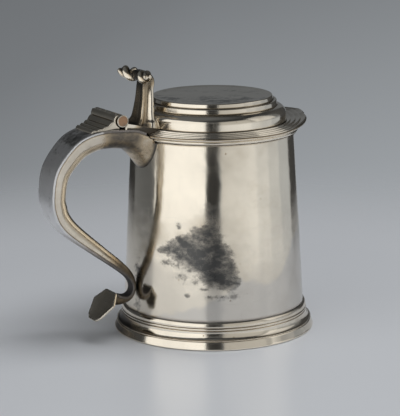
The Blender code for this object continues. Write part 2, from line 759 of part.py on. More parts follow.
def make_thumbpiece_stem(cutter):
    """Post on the hinge plate, flared at its foot, whose head bends back over the handle."""
    samples, normals = stem_samples()
    rings = []
    for (reach, height, depth, width), (out, up) in zip(samples, normals):
        half, back = width / 2, depth / 2
        flat, face = half * STEM_FLAT, back * STEM_FLAT
        corners = [(-half, -face), (-flat, -back), (flat, -back), (half, -face)]
        corners += [(-side, -deep) for side, deep in corners]
        rings.append([place(reach + out * deep, side, height + up * deep) for side, deep in corners])
    stem = add_part("thumbpiece_stem", loft_mesh("thumbpiece_stem", rings), LID_HINGE, SILVER)
    cut(stem, cutter)


def make_thumbpiece_scrolls():
    """Two corkscrew horns, left and right of the stem's head, each a flattened bar twisted along."""
    reach, height, depth, width = stem_samples()[0][-1]
    for name, sign in (("thumbpiece_scroll_near", -1), ("thumbpiece_scroll_far", 1)):
        rings = []
        for ring in range(SCROLL_RINGS + 1):
            share = ring / SCROLL_RINGS
            radius = SCROLL_RADIUS + (SCROLL_TIP_RADIUS - SCROLL_RADIUS) * share ** SCROLL_TAPER
            twist = sign * 2 * math.pi * SCROLL_TURNS * share
            across = sign * (width / 2 + 2 * SEAT_GAP + SCROLL_LENGTH * share)
            points = []
            for step in range(SCROLL_STEPS):
                angle = 2 * math.pi * step / SCROLL_STEPS
                bar = Vector((radius * math.cos(angle), radius * SCROLL_FLATNESS * math.sin(angle)))
                bar.rotate(Matrix.Rotation(twist, 2))
                points.append(place(
                    reach + SCROLL_SWEEP * share + bar.x, across, height + SCROLL_RISE * share + bar.y
                ))
            rings.append(points)
        add_part(name, loft_mesh(name, rings), LID_HINGE, SILVER)


clear_scene()
PARTS = new_collection("tankard")
CUTTERS = new_collection("cutters")
BARREL_AXIS = new_empty("barrel_axis", (AXIS_OFFSET, 0.0, 0.0))
LID_HINGE = new_empty("lid_hinge", place(HINGE_REACH, 0.0, HINGE_HEIGHT), BARREL_AXIS)

make_barrel()
make_bottom_plate()
make_foot_moulding()
make_lip_moulding()
make_lid_shell()
make_lid_bezel()
HANDLE_CUTTER = make_handle_cutter()
make_handle_strap(HANDLE_CUTTER)
make_handle_belly(HANDLE_CUTTER)
make_handle_shield()
make_hinge_drop()
LID_CUTTER = make_lid_cutter()
make_hinge_plate(LID_CUTTER)
make_knuckles()
make_hinge_pin()
make_thumbpiece_stem(LID_CUTTER)
make_thumbpiece_scrolls()
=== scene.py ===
"""Looks of the lidded silver tankard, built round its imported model.

Every new piece is a surface worked out with numpy on a grid of rows and columns. Heights run up from the
table, a reach is a distance out from the barrel's axis towards the handle, which is -X, and lengths are in
metres. The lid's pieces ride on the body "lid", all others on "tankard".
"""

import functools
import json
import math

import bmesh
import bpy
import numpy as np
from mathutils import Matrix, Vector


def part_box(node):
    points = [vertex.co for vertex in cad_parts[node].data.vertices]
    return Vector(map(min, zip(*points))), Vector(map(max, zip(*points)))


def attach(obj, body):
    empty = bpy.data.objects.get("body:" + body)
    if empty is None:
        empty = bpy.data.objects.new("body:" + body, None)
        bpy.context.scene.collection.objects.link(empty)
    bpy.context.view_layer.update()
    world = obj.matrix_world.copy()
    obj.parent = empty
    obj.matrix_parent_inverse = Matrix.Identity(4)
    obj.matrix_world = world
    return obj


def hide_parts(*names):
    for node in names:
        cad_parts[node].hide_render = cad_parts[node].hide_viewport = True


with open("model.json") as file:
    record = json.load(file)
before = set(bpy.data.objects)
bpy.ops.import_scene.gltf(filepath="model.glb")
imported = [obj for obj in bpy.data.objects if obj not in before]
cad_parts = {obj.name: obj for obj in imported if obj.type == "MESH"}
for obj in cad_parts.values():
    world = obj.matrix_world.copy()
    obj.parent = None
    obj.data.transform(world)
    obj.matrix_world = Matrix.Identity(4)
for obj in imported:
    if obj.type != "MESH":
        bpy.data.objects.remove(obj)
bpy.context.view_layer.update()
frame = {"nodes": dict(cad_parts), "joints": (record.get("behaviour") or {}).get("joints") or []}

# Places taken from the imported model
BARREL_LOW, BARREL_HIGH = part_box("barrel")
AXIS_X = (BARREL_LOW.x + BARREL_HIGH.x) / 2
HINGE_X, _, HINGE_HEIGHT = frame["joints"][0]["pos_m"]
HINGE_REACH = AXIS_X - HINGE_X

# Barrel, foot and mouth
MOUTH = 0.1352
TOP_RADIUS = 0.0537
BASE_RADIUS = 0.0611
WALL = 0.0008
BARREL_START = 0.0020
FOOT_HEIGHT = 0.0174
LIP_RADIUS = 0.0567
LIP_FOOT = 0.1322
SEAT_GAP = 0.0003

# Lid
BRIM_RADIUS = 0.0589
BRIM_HEIGHT = 0.1355
BRIM_EDGE = 0.0016
DRUM_RADIUS = 0.0489
DRUM_FOOT = 0.1394
SHOULDER = 0.1440
LOWER_STEP = 0.1499
UPPER_STEP = 0.1533
LID_TOP = 0.1564
UPPER_RADIUS = 0.0430
BEAD_RADIUS = 0.0402
STEP_ROUND = 0.0008
RISER_LEAN = 0.0003
DISH_RADIUS = 0.0340
DISH_DEPTH = 0.0003
LID_WALL = 0.0009
LINING_HEIGHT = 0.1363
PEAK_BULGE = 0.0066
PEAK_POINT = 0.0039
PEAK_LIFT = 0.0030
PEAK_HALF_ANGLE = math.radians(58)
POINT_HALF_ANGLE = math.radians(13)
LIFT_HALF_ANGLE = math.radians(75)
SCALLOP_DEPTH = 0.0010
SCALLOP_PITCH = math.radians(4.5)

# Handle: shares of its height and spread, the hinge's length and the handle's depth
HANDLE_TOP = 0.1425
HANDLE_TAIL = 0.0286
HANDLE_SPREAD = 0.0671
HINGE_LENGTH = 0.0370
HANDLE_DEPTH = 0.0150
STRAP_THICKNESS = 0.0014
SHIELD_TILT = math.radians(40)
HANDLE_STATIONS = np.array((
    (0.917, -0.119, 0.973, 1.467),
    (0.963, 0.051, 0.959, 1.053),
    (0.990, 0.158, 0.919, 0.987),
    (0.997, 0.294, 0.865, 0.933),
    (1.000, 0.458, 0.797, 0.940),
    (0.984, 0.627, 0.719, 1.000),
    (0.935, 0.788, 0.670, 1.020),
    (0.796, 0.966, 0.608, 0.960),
    (0.636, 1.000, 0.573, 0.893),
    (0.552, 0.972, 0.530, 0.880),
    (0.476, 0.906, 0.470, 0.820),
    (0.393, 0.765, 0.416, 0.713),
    (0.251, 0.432, 0.324, 0.533),
    (0.158, 0.212, 0.270, 0.433),
    (0.100, 0.091, 0.232, 0.320),
    (0.056, 0.051, 0.216, 0.207),
    (0.019, 0.058, 0.222, 0.220),
    (0.000, 0.100, 0.243, 0.300),
    (0.009, 0.171, 0.311, 0.440),
    (0.034, 0.249, 0.405, 0.600),
))

# Thumbpiece: shares of its depth, height, depth and width
STEM_REACH = 0.0493
STEM_SEAT = 0.1428
STEM_HEIGHT = 0.0306
STEM_DEPTH = 0.0078
STEM_WIDTH = 0.0240
STEM_STATIONS = np.array((
    (0.620, -0.085, 2.050, 1.000),
    (0.470, 0.030, 1.650, 0.900),
    (0.370, 0.120, 1.380, 0.790),
    (0.300, 0.268, 1.230, 0.700),
    (0.200, 0.497, 1.080, 0.620),
    (0.130, 0.725, 1.050, 0.540),
    (0.060, 0.890, 1.150, 0.480),
    (0.400, 1.000, 0.950, 0.420),
    (1.000, 1.000, 0.860, 0.380),
))

# Hinge: its tubes, the cradle that holds them, the drop below it, and the plate's top as reaches and heights
KNUCKLE_RADIUS = 0.0039
CRADLE = 0.0045
DROP_LENGTH = 0.0189
DISC_THICKNESS = 0.0012
LEAF_BEND = 0.0600
LEAF_INNER = 0.0484
LEAF_TOP = np.array((
    (0.0494, 0.1404), (0.0514, 0.1405), (0.0555, 0.1410), (0.0600, 0.1418), (0.0645, 0.1431), (0.0672, 0.1441),
    (0.0694, 0.1451),
))

# Columns round the barrel and round the lid
ROUND = 288
LID_ROUND = 360

# The camera's bearing, and the angle round the barrel that faces it
VIEW_AZIMUTH = math.radians(-30)
FACING = math.radians(240)


def wall_radius(height):
    """Barrel's outer radius: a straight taper from the base radius to the mouth's."""
    return BASE_RADIUS + (TOP_RADIUS - BASE_RADIUS) * height / MOUTH


def circle(count):
    """Angles of evenly spaced columns once round, as one row."""
    return np.linspace(0, 2 * math.pi, count, endpoint=False)[None]


def wrapped(angle):
    """Angle brought between minus and plus half a turn."""
    return np.remainder(angle + math.pi, 2 * math.pi) - math.pi


def unit(value):
    """Value held between 0 and 1."""
    return np.clip(value, 0, 1)


def bell(value, width):
    """Bell curve: e to minus the square of a value measured in widths."""
    return np.exp(-((value / width) ** 2))


def bow(centre, radii, start, end, steps=16):
    """Elliptical arc: centre plus radii times the cosine and sine of angles that run evenly, in degrees."""
    angle = np.radians(np.linspace(start, end, steps + 1))
    return np.stack((centre[0] + radii[0] * np.cos(angle), centre[1] + radii[1] * np.sin(angle)), -1)


def line(start, end, steps):
    """Evenly spaced points from start to end, without the last."""
    return np.linspace(start, end, steps, endpoint=False)


def joined(*runs):
    """One profile from several runs of points."""
    return np.concatenate([np.atleast_2d(run) for run in runs])


def lengths(profile):
    """Distance along a profile to each of its points."""
    return np.concatenate(([0.0], np.cumsum(np.linalg.norm(np.diff(profile, axis=0), axis=1))))


def read_at(place, along, points):
    """Points read at places along their path, each column on its own."""
    return np.stack([np.interp(place, along, column) for column in points.T], -1)


def evenly(profile, step, closed=False):
    """The same profile with its points a step apart along it."""
    if closed:
        profile = np.concatenate((profile, profile[:1]))
    along = lengths(profile)
    count = max(3, int(along[-1] / step))
    at = np.linspace(0.0, along[-1], count, endpoint=not closed)
    return read_at(at, along, profile)


def rounded(profile, radius):
    """Closed profile whose corners are eased: the mean of its points over a window of the radius."""
    along = lengths(profile)
    shifts = np.linspace(-radius, radius, 9)
    return sum(read_at(np.mod(along + shift, along[-1]), along, profile) for shift in shifts) / len(shifts)


def hollows(profile, closed, span=0.0009):
    """How deep each point lies under the chord between the points a span before and after it, in spans."""
    ring = np.concatenate((profile, profile[:1])) if closed else profile
    along = lengths(ring)
    at = along[:len(profile)]
    total = along[-1]
    ends = []
    for shift in (-span, span):
        place = np.mod(at + shift, total) if closed else np.clip(at + shift, 0, total)
        ends.append(read_at(place, along, ring))
    chord = ends[1] - ends[0]
    chord /= np.linalg.norm(chord, axis=1, keepdims=True) + 1e-12
    outward = np.stack((-chord[:, 1], chord[:, 0]), -1)
    return (((ends[0] + ends[1]) / 2 - profile) * outward).sum(-1) / span


def smooth_path(stations, steps, end):
    """Catmull-Rom curve through stations, whose end runs in a given direction: the cubic blend of each four."""
    span = np.linalg.norm(stations[-1, :2] - stations[-2, :2])
    ahead = stations[-1].copy()
    ahead[:2] = stations[-2, :2] + 2 * span * np.array(end)
    knots = np.concatenate((2 * stations[:1] - stations[1:2], stations, ahead[None]))
    a, b, c, d = (knots[k:len(knots) - 3 + k][:, None] for k in range(4))
    t = (np.arange(steps) / steps)[None, :, None]
    curve = b + 0.5 * t * ((c - a) + t * ((2 * a - 5 * b + 4 * c - d) + t * (3 * b - a - 3 * c + d)))
    return np.concatenate((curve.reshape(-1, stations.shape[1]), stations[-1:]))


def path_normals(path, end):
    """Unit normals on the right hand of a path's direction, which is the difference of its neighbours."""
    run = np.gradient(path[:, :2], axis=0)
    run[-1] = end
    run /= np.linalg.norm(run, axis=1, keepdims=True)
    return np.stack((run[:, 1], -run[:, 0]), -1)


def hammered(angle, height, depth, seed, fine=1):
    """Slow waves left by the hammer: a sum of sines in angle and height with seeded counts and phases."""
    draw = np.random.default_rng(seed)
    total = np.zeros(np.broadcast(angle, height).shape)
    counts, pitches, phases = draw.integers(3, 16, 12), draw.uniform(-260, 260, 12), draw.uniform(0, 7, 12)
    for count, pitch, phase in zip(counts, pitches, phases):
        total += np.sin(fine * count * angle + fine * pitch * height + phase)
    return depth * total / 12 ** 0.5


def about_axis(radius, angle, height):
    """Points round the barrel's axis: radius times the cosine and sine of the angle, and height."""
    radius, angle, height = np.broadcast_arrays(radius, angle, height)
    return np.stack((AXIS_X + radius * np.cos(angle), radius * np.sin(angle), height), -1)


def at_handle(reach, side, height):
    """Points from reach, place across the handle and height."""
    reach, side, height = np.broadcast_arrays(reach, side, height)
    return np.stack((AXIS_X - reach, side, height), -1)


def placed(name, data):
    """New object of its data, put in the scene."""
    made = bpy.data.objects.new(name, data)
    bpy.context.scene.collection.objects.link(made)
    return made


def surface(name, points, around, closed, ends=None, sharp=40, **marks):
    """Mesh of a grid of points: a quad between each four neighbours, wrapped round and closed as asked.

    Ends names the grid's rows or columns where its first and last get a face each. Each mark is a value
    per point, kept as an attribute for the materials. Points that meet are joined and faces turned out.
    """
    rows, columns = points.shape[:2]
    index = np.arange(rows * columns).reshape(rows, columns)
    grid = np.concatenate((index, index[:, :1]), 1) if around else index
    grid = np.concatenate((grid, grid[:1]), 0) if closed else grid
    quads = np.stack((grid[:-1, :-1], grid[1:, :-1], grid[1:, 1:], grid[:-1, 1:]), -1).reshape(-1, 4)
    caps = {"rows": (index[0], index[-1]), "columns": (index[:, 0], index[:, -1]), None: ()}[ends]
    corners = np.concatenate((quads.ravel(), *caps)).astype(np.int32)
    counts = np.concatenate((np.full(len(quads), 4), [len(cap) for cap in caps])).astype(np.int32)
    mesh = bpy.data.meshes.new(name)
    mesh.vertices.add(rows * columns)
    mesh.vertices.foreach_set("co", points.astype(np.float32).ravel())
    mesh.loops.add(len(corners))
    mesh.loops.foreach_set("vertex_index", corners)
    mesh.polygons.add(len(counts))
    mesh.polygons.foreach_set("loop_start", np.concatenate(([0], np.cumsum(counts)[:-1])).astype(np.int32))
    mesh.update(calc_edges=True)
    for mark, values in marks.items():
        field = mesh.attributes.new(mark, "FLOAT", "POINT")
        field.data.foreach_set("value", np.broadcast_to(values, (rows, columns)).astype(np.float32).ravel())
    bm = bmesh.new()
    bm.from_mesh(mesh)
    bmesh.ops.remove_doubles(bm, verts=bm.verts, dist=1e-7)
    bmesh.ops.dissolve_degenerate(bm, edges=bm.edges, dist=1e-7)
    bmesh.ops.recalc_face_normals(bm, faces=bm.faces)
    bm.to_mesh(mesh)
    bm.free()
    mesh.shade_smooth()
    mesh.set_sharp_from_angle(angle=math.radians(sharp))
    return placed(name, mesh)


def dress(piece, replaced, body="tankard", slot="polished_silver"):
    """Put a finished piece in the place of a CAD node, on its body, with the finish of its slot."""
    piece.data.materials.append(FINISHES[slot])
    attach(piece, body)
    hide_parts(replaced)


def turned(name, profile, closed, reshape=None, columns=ROUND, sharp=40, tint=0.0, stain=0.0):
    """Profile of radii and heights carried round the barrel's axis: radius times cosine and sine, and height.

    The profile runs down its outer side. Reshape may move radius and height by the angle. Tint is added to
    the film in the hollows, and carries tarnish and painted shade.
    """
    angle = circle(columns)
    radius, height = profile[:, :1], profile[:, 1:]
    if reshape:
        radius, height = reshape(angle, radius, height)
    film = hollows(profile, closed)[:, None] + tint
    return surface(name, about_axis(radius, angle, height), True, closed, sharp=sharp, hollow=film, stain=stain)


# Stain on the barrel: heights, with its left and right edges across the side that faces the camera
STAIN = np.array((
    (0.0360, 0.0050, 0.0120),
    (0.0421, -0.0059, 0.0180),
    (0.0488, -0.0150, 0.0167),
    (0.0555, -0.0260, 0.0146),
    (0.0622, -0.0390, 0.0126),
    (0.0689, -0.0320, 0.0093),
    (0.0756, -0.0160, 0.0073),
    (0.0823, -0.0079, 0.0053),
    (0.0960, -0.0050, 0.0040),
))

# Upper edge of the grey haze low on the barrel: places across the same side, and heights
HAZE = np.array((
    (-0.1000, 0.0180), (-0.0600, 0.0180), (-0.0400, 0.0200), (-0.0100, 0.0280),
    (0.0100, 0.0380), (0.0168, 0.0470), (0.0330, 0.0415), (0.0450, 0.0425),
    (0.0530, 0.0500), (0.0650, 0.0640), (0.0800, 0.0720), (0.1200, 0.0480),
))

# Small spots beside the stain: weight, place across and up, half width and half height
SPOTS = (
    (0.55, -0.0300, 0.0560, 0.0090, 0.0040), (0.55, -0.0150, 0.0450, 0.0120, 0.0040),
    (0.70, -0.0235, 0.0800, 0.0030, 0.0030), (0.75, -0.0570, 0.0360, 0.0060, 0.0180),
    (0.75, -0.0165, 0.0345, 0.0022, 0.0016), (0.60, -0.0060, 0.0390, 0.0030, 0.0012),
    (0.60, 0.0020, 0.0335, 0.0120, 0.0025), (0.55, 0.0130, 0.0330, 0.0050, 0.0030),
)

# Radius that turns angles into places across, widths of the stain's soft edges and its spread past them
SIDE_RADIUS = 0.058
SOFT_LEFT, SOFT_RIGHT, SOFT_ENDS, OUTSET = 0.0180, 0.0080, 0.0100, 0.35


def barrel():
    """Raised barrel: the straight taper with hammer waves, lined inside, its stain marked on the outside."""
    outer = line((TOP_RADIUS, MOUTH), (wall_radius(BARREL_START), BARREL_START), 130)
    inner = line((wall_radius(BARREL_START) - WALL, BARREL_START), (TOP_RADIUS - WALL, MOUTH), 90)
    profile = joined(outer, inner)
    angle = circle(ROUND)
    radius, height = profile[:, :1], profile[:, 1:]
    radius = radius + hammered(angle, height, 0.00005, 11) + hammered(angle, height, 0.000012, 12, fine=3)
    height = np.broadcast_to(height, radius.shape)
    across = SIDE_RADIUS * wrapped(angle - FACING)
    from_left = across - np.interp(height, STAIN[:, 0], STAIN[:, 1])
    from_right = np.interp(height, STAIN[:, 0], STAIN[:, 2]) - across
    ends = np.minimum(height - STAIN[0, 0], STAIN[-1, 0] - height) / SOFT_ENDS
    inside = np.minimum(np.minimum(from_left / SOFT_LEFT, from_right / SOFT_RIGHT), ends)
    blot = inside.clip(-OUTSET, 0.75) + OUTSET
    for weight, middle, up, wide, tall in SPOTS:
        blot = np.maximum(blot, weight * bell(across - middle, wide) * bell(height - up, tall))
    blot = np.where(np.arange(len(profile))[:, None] < len(outer), blot, 0)
    fade = np.exp(-(height - FOOT_HEIGHT) / 0.0012) + np.exp(-(LIP_FOOT - height) / 0.0008)
    gold = 0.11 * unit(2.2 - 2 * np.hypot((across - 0.0300) / 0.0310, (height - 0.0780) / 0.0480))
    edge = np.interp(across, HAZE[:, 0], HAZE[:, 1]) + hammered(angle, height, 0.0012, 31, fine=3)
    haze = unit((edge - height) / 0.0030)
    film = np.maximum(unit(fade) * 0.5, gold * (1 - haze))
    points = about_axis(radius, angle, height)
    return surface("raised_barrel", points, True, True, hollow=film, stain=blot, haze=haze)


def bottom():
    """Bottom plate: a flat disc with an eased edge and a small dimple at its middle."""
    top, under = 0.0050, 0.0040
    edge = wall_radius(top) - WALL - SEAT_GAP
    profile = joined(
        line((0.0, top - 0.0002), (0.0006, top - 0.0002), 3), line((0.0009, top), (edge - 0.0003, top), 40),
        bow((edge - 0.0003, top - 0.0003), (0.0003, 0.0003), 90, 0, 4),
        line((edge, under), (0.0, under), 40), (0.0, under),
    )
    return turned("flat_bottom", profile, False)


def foot_ring():
    """Bands of the foot: a bead, a fillet, a cove and a heavy base band, with sunk lines between them."""
    seat = wall_radius(FOOT_HEIGHT) + SEAT_GAP
    profile = joined(
        bow((seat, 0.01395), (0.0015, FOOT_HEIGHT - 0.01395), 90, 0),
        bow((0.06200, 0.01375), (0.00035, 0.0002), 120, 240, 6),
        bow((0.0616, 0.01275), (0.0006, 0.00085), 80, -80, 10),
        bow((0.06220, 0.01165), (0.0004, 0.00022), 120, 240, 6),
        bow((0.0650, 0.01145), (0.00295, 0.0053), 180, 268),
        bow((0.06525, 0.00600), (0.00035, 0.00022), 110, 250, 6),
    )
    band = joined(
        bow((0.0646, 0.0050), (0.0007, 0.0007), 90, 20, 6), line((0.0653, 0.0052), (0.0666, 0.0010), 12),
        bow((0.0660, 0.0008), (0.0007, 0.0008), 10, -90, 8),
    )
    inside = ((0.0640, 0.0), (0.0640, 0.0044), (0.0625, 0.0064), (0.0608, 0.0118), (seat, 0.0170))
    profile = evenly(joined(profile, band, inside), 0.00022, closed=True)
    angle = np.linspace(0, 360, ROUND, endpoint=False)[None]
    # Painted dark reflection of the shield and its shade, with some tarnish, on the foot's lower bands beside
    # the handle
    painted_reflection_and_tarnish = 0.50 * bell(angle - 166, 24) * (profile[:, 1:] < 0.0130)

    def beaten(angle, radius, height):
        return radius + hammered(angle, height, 0.00002, 5), height

    return turned("foot_ring", profile, True, reshape=beaten, tint=painted_reflection_and_tarnish)


def mouth_ring():
    """Mouth ring: a half-round bead, a sunk line and a thin fillet, flat against the barrel."""
    profile = joined(
        bow((0.0552, 0.1339), (0.0015, 0.0013), 90, -80),
        bow((0.0556, 0.13255), (0.0003, 0.0002), 120, 240, 6),
        bow((0.0552, 0.13225), (0.0006, 0.00022), 60, -90, 8),
        (wall_radius(LIP_FOOT) + SEAT_GAP, LIP_FOOT), (TOP_RADIUS + SEAT_GAP, MOUTH),
    )
    return turned("mouth_ring", evenly(profile, 0.00018, closed=True), True)


def peak(angle, share):
    """How far the brim stands out round the front: a squared cosine bulge with a straight-sided point on it.

    Both grow evenly from drum to edge. The scallops, squared sines, are cut into the outer edge alone.
    """
    angle = np.abs(wrapped(angle))
    bulge = PEAK_BULGE * np.cos(math.pi / 2 * np.minimum(angle / PEAK_HALF_ANGLE, 1)) ** 2
    point = unit(1 - angle / POINT_HALF_ANGLE)
    notch = SCALLOP_DEPTH * np.sin(math.pi * angle / SCALLOP_PITCH) ** 2 * (angle < 3 * SCALLOP_PITCH)
    return share * (bulge + PEAK_POINT * point) - share ** 8 * notch


# One reed of the brim, from groove to groove: shares of its width and of its fall
REED = np.array((
    (0.00, 0.00), (0.25, 0.22), (0.50, 0.42), (0.70, 0.54),
    (0.78, 0.54), (0.83, 0.45), (0.865, 0.28), (0.94, -0.38),
))
REED_COUNT = 4


def brim_height(radius):
    """Brim's upper side without its reeds: a straight line from the drum's foot to the edge."""
    return np.interp(radius, (DRUM_RADIUS, BRIM_RADIUS), (DRUM_FOOT, BRIM_HEIGHT + BRIM_EDGE))


def brim_top():
    """Brim from drum to edge: the same reed again and again, each lower by one fall."""
    width = (BRIM_RADIUS - 0.0003 - DRUM_RADIUS) / REED_COUNT
    fall = (DRUM_FOOT - BRIM_HEIGHT - BRIM_EDGE) / REED_COUNT
    place = np.arange(REED_COUNT)[:, None]
    radius = DRUM_RADIUS + width * (place + REED[:, 0])
    height = DRUM_FOOT - fall * (place - REED[:, 1])
    return np.stack((radius.ravel(), height.ravel()), -1)


def riser(radius, top, foot):
    """Upright face of a step: a quarter circle at the corner, then a nearly straight fall."""
    lean, low = radius - RISER_LEAN, top - STEP_ROUND
    corner = bow((lean - STEP_ROUND, low), (STEP_ROUND, STEP_ROUND), 90, 8, 10)
    return joined(corner, line((lean, low), (radius, foot), 8))


def lid():
    """Stepped lid in one skin: flat disc, two upright steps, a round one, drum and reeded brim, lined below."""
    top = joined(
        line((0.0, LID_TOP - DISH_DEPTH), (DISH_RADIUS, LID_TOP - DISH_DEPTH), 16),
        line((DISH_RADIUS, LID_TOP - DISH_DEPTH), (BEAD_RADIUS - 0.0016, LID_TOP), 8),
        riser(BEAD_RADIUS, LID_TOP, UPPER_STEP + 0.0002),
        line((BEAD_RADIUS + 0.0002, UPPER_STEP), (UPPER_RADIUS - 0.0016, UPPER_STEP), 5),
        riser(UPPER_RADIUS, UPPER_STEP, LOWER_STEP),
        bow((UPPER_RADIUS, SHOULDER), (DRUM_RADIUS - UPPER_RADIUS, LOWER_STEP - SHOULDER - 0.0003), 86, 0, 28),
        line((DRUM_RADIUS, SHOULDER - 0.0002), (DRUM_RADIUS, DRUM_FOOT), 12),
        brim_top(),
    )
    edge = bow((BRIM_RADIUS - 0.0004, BRIM_HEIGHT + BRIM_EDGE / 2), (0.0004, BRIM_EDGE / 2), 80, -90, 10)
    upper, bead, under = UPPER_RADIUS - LID_WALL, BEAD_RADIUS - LID_WALL, LID_TOP - 0.0016
    lining = joined(
        line((BRIM_RADIUS - 0.0006, BRIM_HEIGHT), (0.0546, BRIM_HEIGHT), 5), (0.0546, BRIM_HEIGHT),
        (0.0536, LINING_HEIGHT), (0.0512, LINING_HEIGHT), (DRUM_RADIUS - LID_WALL, DRUM_FOOT - LID_WALL),
        bow((UPPER_RADIUS, SHOULDER), (DRUM_RADIUS - UPPER_RADIUS - LID_WALL, 0.0057), 0, 90, 8),
        (upper, LOWER_STEP), (upper - 0.0004, UPPER_STEP - LID_WALL - 0.0004),
        (bead, UPPER_STEP - LID_WALL), (bead - 0.0008, under), (0.0120, under), (0.0, under),
    )
    profile = joined(top, edge, lining)

    def peaked(angle, radius, height):
        share = unit((radius - DRUM_RADIUS) / (BRIM_RADIUS - DRUM_RADIUS))
        turn = np.minimum(np.abs(wrapped(angle)) / LIFT_HALF_ANGLE, 1)
        lift = PEAK_LIFT * share * np.cos(math.pi / 2 * turn) ** 2
        steady = unit(radius / 0.01)
        return radius + peak(angle, share), height + lift + steady * hammered(angle, radius * 3, 0.000018, 7)

    angle = circle(LID_ROUND)
    radius, height = profile[:, :1], profile[:, 1:]
    row = np.arange(len(profile))[:, None]
    outside = row < len(top)
    front = radius * np.cos(angle - math.radians(225))
    disc = outside * (radius < BEAD_RADIUS - 0.0016)
    smudge = disc * (0.18 + 0.34 * bell(front - 0.022, 0.012))
    drum = outside * (radius > DRUM_RADIUS - 0.0020) * (height > DRUM_FOOT)
    beside = bell(np.degrees(angle) - 203, 9)
    golden = drum * (0.22 * np.exp(-(height - DRUM_FOOT) / 0.0012) + 0.18 * beside)
    brim = outside * (radius > DRUM_RADIUS + 0.0006)
    rim = (row >= len(top)) & (row < len(top) + len(edge))
    # Golden tarnish on the drum, film wiped off the brim, and painted shade on the brim's outer edge, where the
    # gap under it is dark
    film = golden - 0.9 * brim + 0.6 * rim
    return turned(
        "stepped_lid", profile, False, reshape=peaked, columns=LID_ROUND, sharp=50, tint=film, stain=smudge,
    )


def collar():
    """Collar under the lid: a thin upright ring that narrows a little downwards, with eased edges."""
    outer, inner, foot, top = 0.0521, 0.0511, 0.1312, LINING_HEIGHT - 0.0002
    profile = joined((inner, top), (outer, top), (outer - 0.0005, foot), (inner - 0.0005, foot))
    profile = rounded(evenly(profile, 0.0001, closed=True), 0.00025)
    return turned("lid_collar", profile, True)


def eased(path, window):
    """Path drawn smooth: each point's mean over a bell-shaped window, which narrows to nothing at the ends."""
    along = lengths(path[:, :2])
    reach = np.minimum(window, np.minimum(along, along[-1] - along))
    mean, weight = np.zeros_like(path), 0.0
    for shift in np.linspace(-1, 1, 17):
        share = math.exp(-2.5 * shift * shift)
        at = along + shift * reach
        mean += share * read_at(at, along, path)
        weight += share
    return mean / weight


def handle_path():
    """Strap's outer line as reach, height, width and depth, with the normals that point into the handle."""
    height = HANDLE_TAIL + (HANDLE_TOP - HANDLE_TAIL) * HANDLE_STATIONS[:, 0]
    stations = np.stack((
        wall_radius(height) + HANDLE_SPREAD * HANDLE_STATIONS[:, 1], height,
        HINGE_LENGTH * HANDLE_STATIONS[:, 2], HANDLE_DEPTH * HANDLE_STATIONS[:, 3],
    ), -1)
    end = (math.cos(SHIELD_TILT), math.sin(SHIELD_TILT))
    path = eased(evenly(smooth_path(stations, 12, end), 0.0009), 0.0060)
    return path, path_normals(path, end)


def pushed_out(points, least):
    """Points moved along the radius to at least a given distance from the barrel's axis."""
    flat = points[..., :2] - (AXIS_X, 0.0)
    radius = np.linalg.norm(flat, axis=-1)
    moved = points.copy()
    moved[..., :2] = flat * (np.maximum(radius, least) / np.maximum(radius, 1e-6))[..., None] + (AXIS_X, 0.0)
    return moved


def off_the_barrel(points, play):
    """Push points that lie inside the barrel, mouth ring or lid out to their surface, along the radius."""
    height = points[..., 2]
    least = wall_radius(np.minimum(height, MOUTH)) - play
    least = np.where(height > LIP_FOOT - SEAT_GAP, LIP_RADIUS + SEAT_GAP, least)
    least = np.where(height > MOUTH, BRIM_RADIUS + SEAT_GAP, least)
    return pushed_out(points, least)


def swept(path, normals, side, deep):
    """Sections along a path: side runs across the handle and deep along each normal."""
    reach = path[:, :1] + normals[:, :1] * deep
    height = path[:, 1:2] + normals[:, 1:2] * deep
    return at_handle(reach, side, height)


def block_section(half, thickness, ease):
    """Rounded rectangle as side and depth: a quarter circle at each corner, with flats across between them."""
    quarter = np.radians(np.linspace(0, 90, 5))
    flat = np.linspace(1, -1, 14)[1:-1]
    one, level = np.ones(5), np.ones(len(flat))
    wide = np.concatenate((one, flat, -one, -one, -flat, one))
    thick = np.concatenate((one, level, one, -one, -level, -one))
    turn = np.concatenate((
        quarter, level * math.pi / 2, quarter + math.pi / 2,
        quarter + math.pi, level * 1.5 * math.pi, quarter + 1.5 * math.pi,
    ))
    side = wide * (half - ease) + ease * np.cos(turn)
    deep = thick * (thickness / 2 - ease) + ease * np.sin(turn)
    return side, deep + thickness / 2


def handle_back():
    """Strap: a rounded rectangle carried along the handle's path, from the lid's brim to the shield."""
    path, normals = handle_path()
    shown = (path[:, 0] > BRIM_RADIUS - 0.001) | (np.arange(len(path)) > 60)
    path, normals = path[shown], normals[shown]
    reach, height, width, _ = (path[:, k:k + 1] for k in range(4))
    side, deep = block_section(width / 2, STRAP_THICKNESS, 0.00035)
    along = np.linspace(0, 1, len(path))[:, None]
    points = swept(path, normals, side, deep + hammered(along * 6, side, 0.00002, 3))
    face = np.abs(side) < width / 2 - 0.0006
    bend = (0.15 + 0.37 * unit((height - 0.1230) / 0.0140)) * face
    tail = unit((0.0900 - height) / 0.0400)
    beside = unit((0.0950 - reach) / 0.0080) * (height > 0.1200)
    worn = np.where(face, 0.50 * tail, np.where(tail > 0, 0.40 * tail, 1.35 * beside - 1.0))
    points = off_the_barrel(points, 0.0)
    return surface("handle_back", points, True, False, ends="rows", stain=bend, hollow=worn)


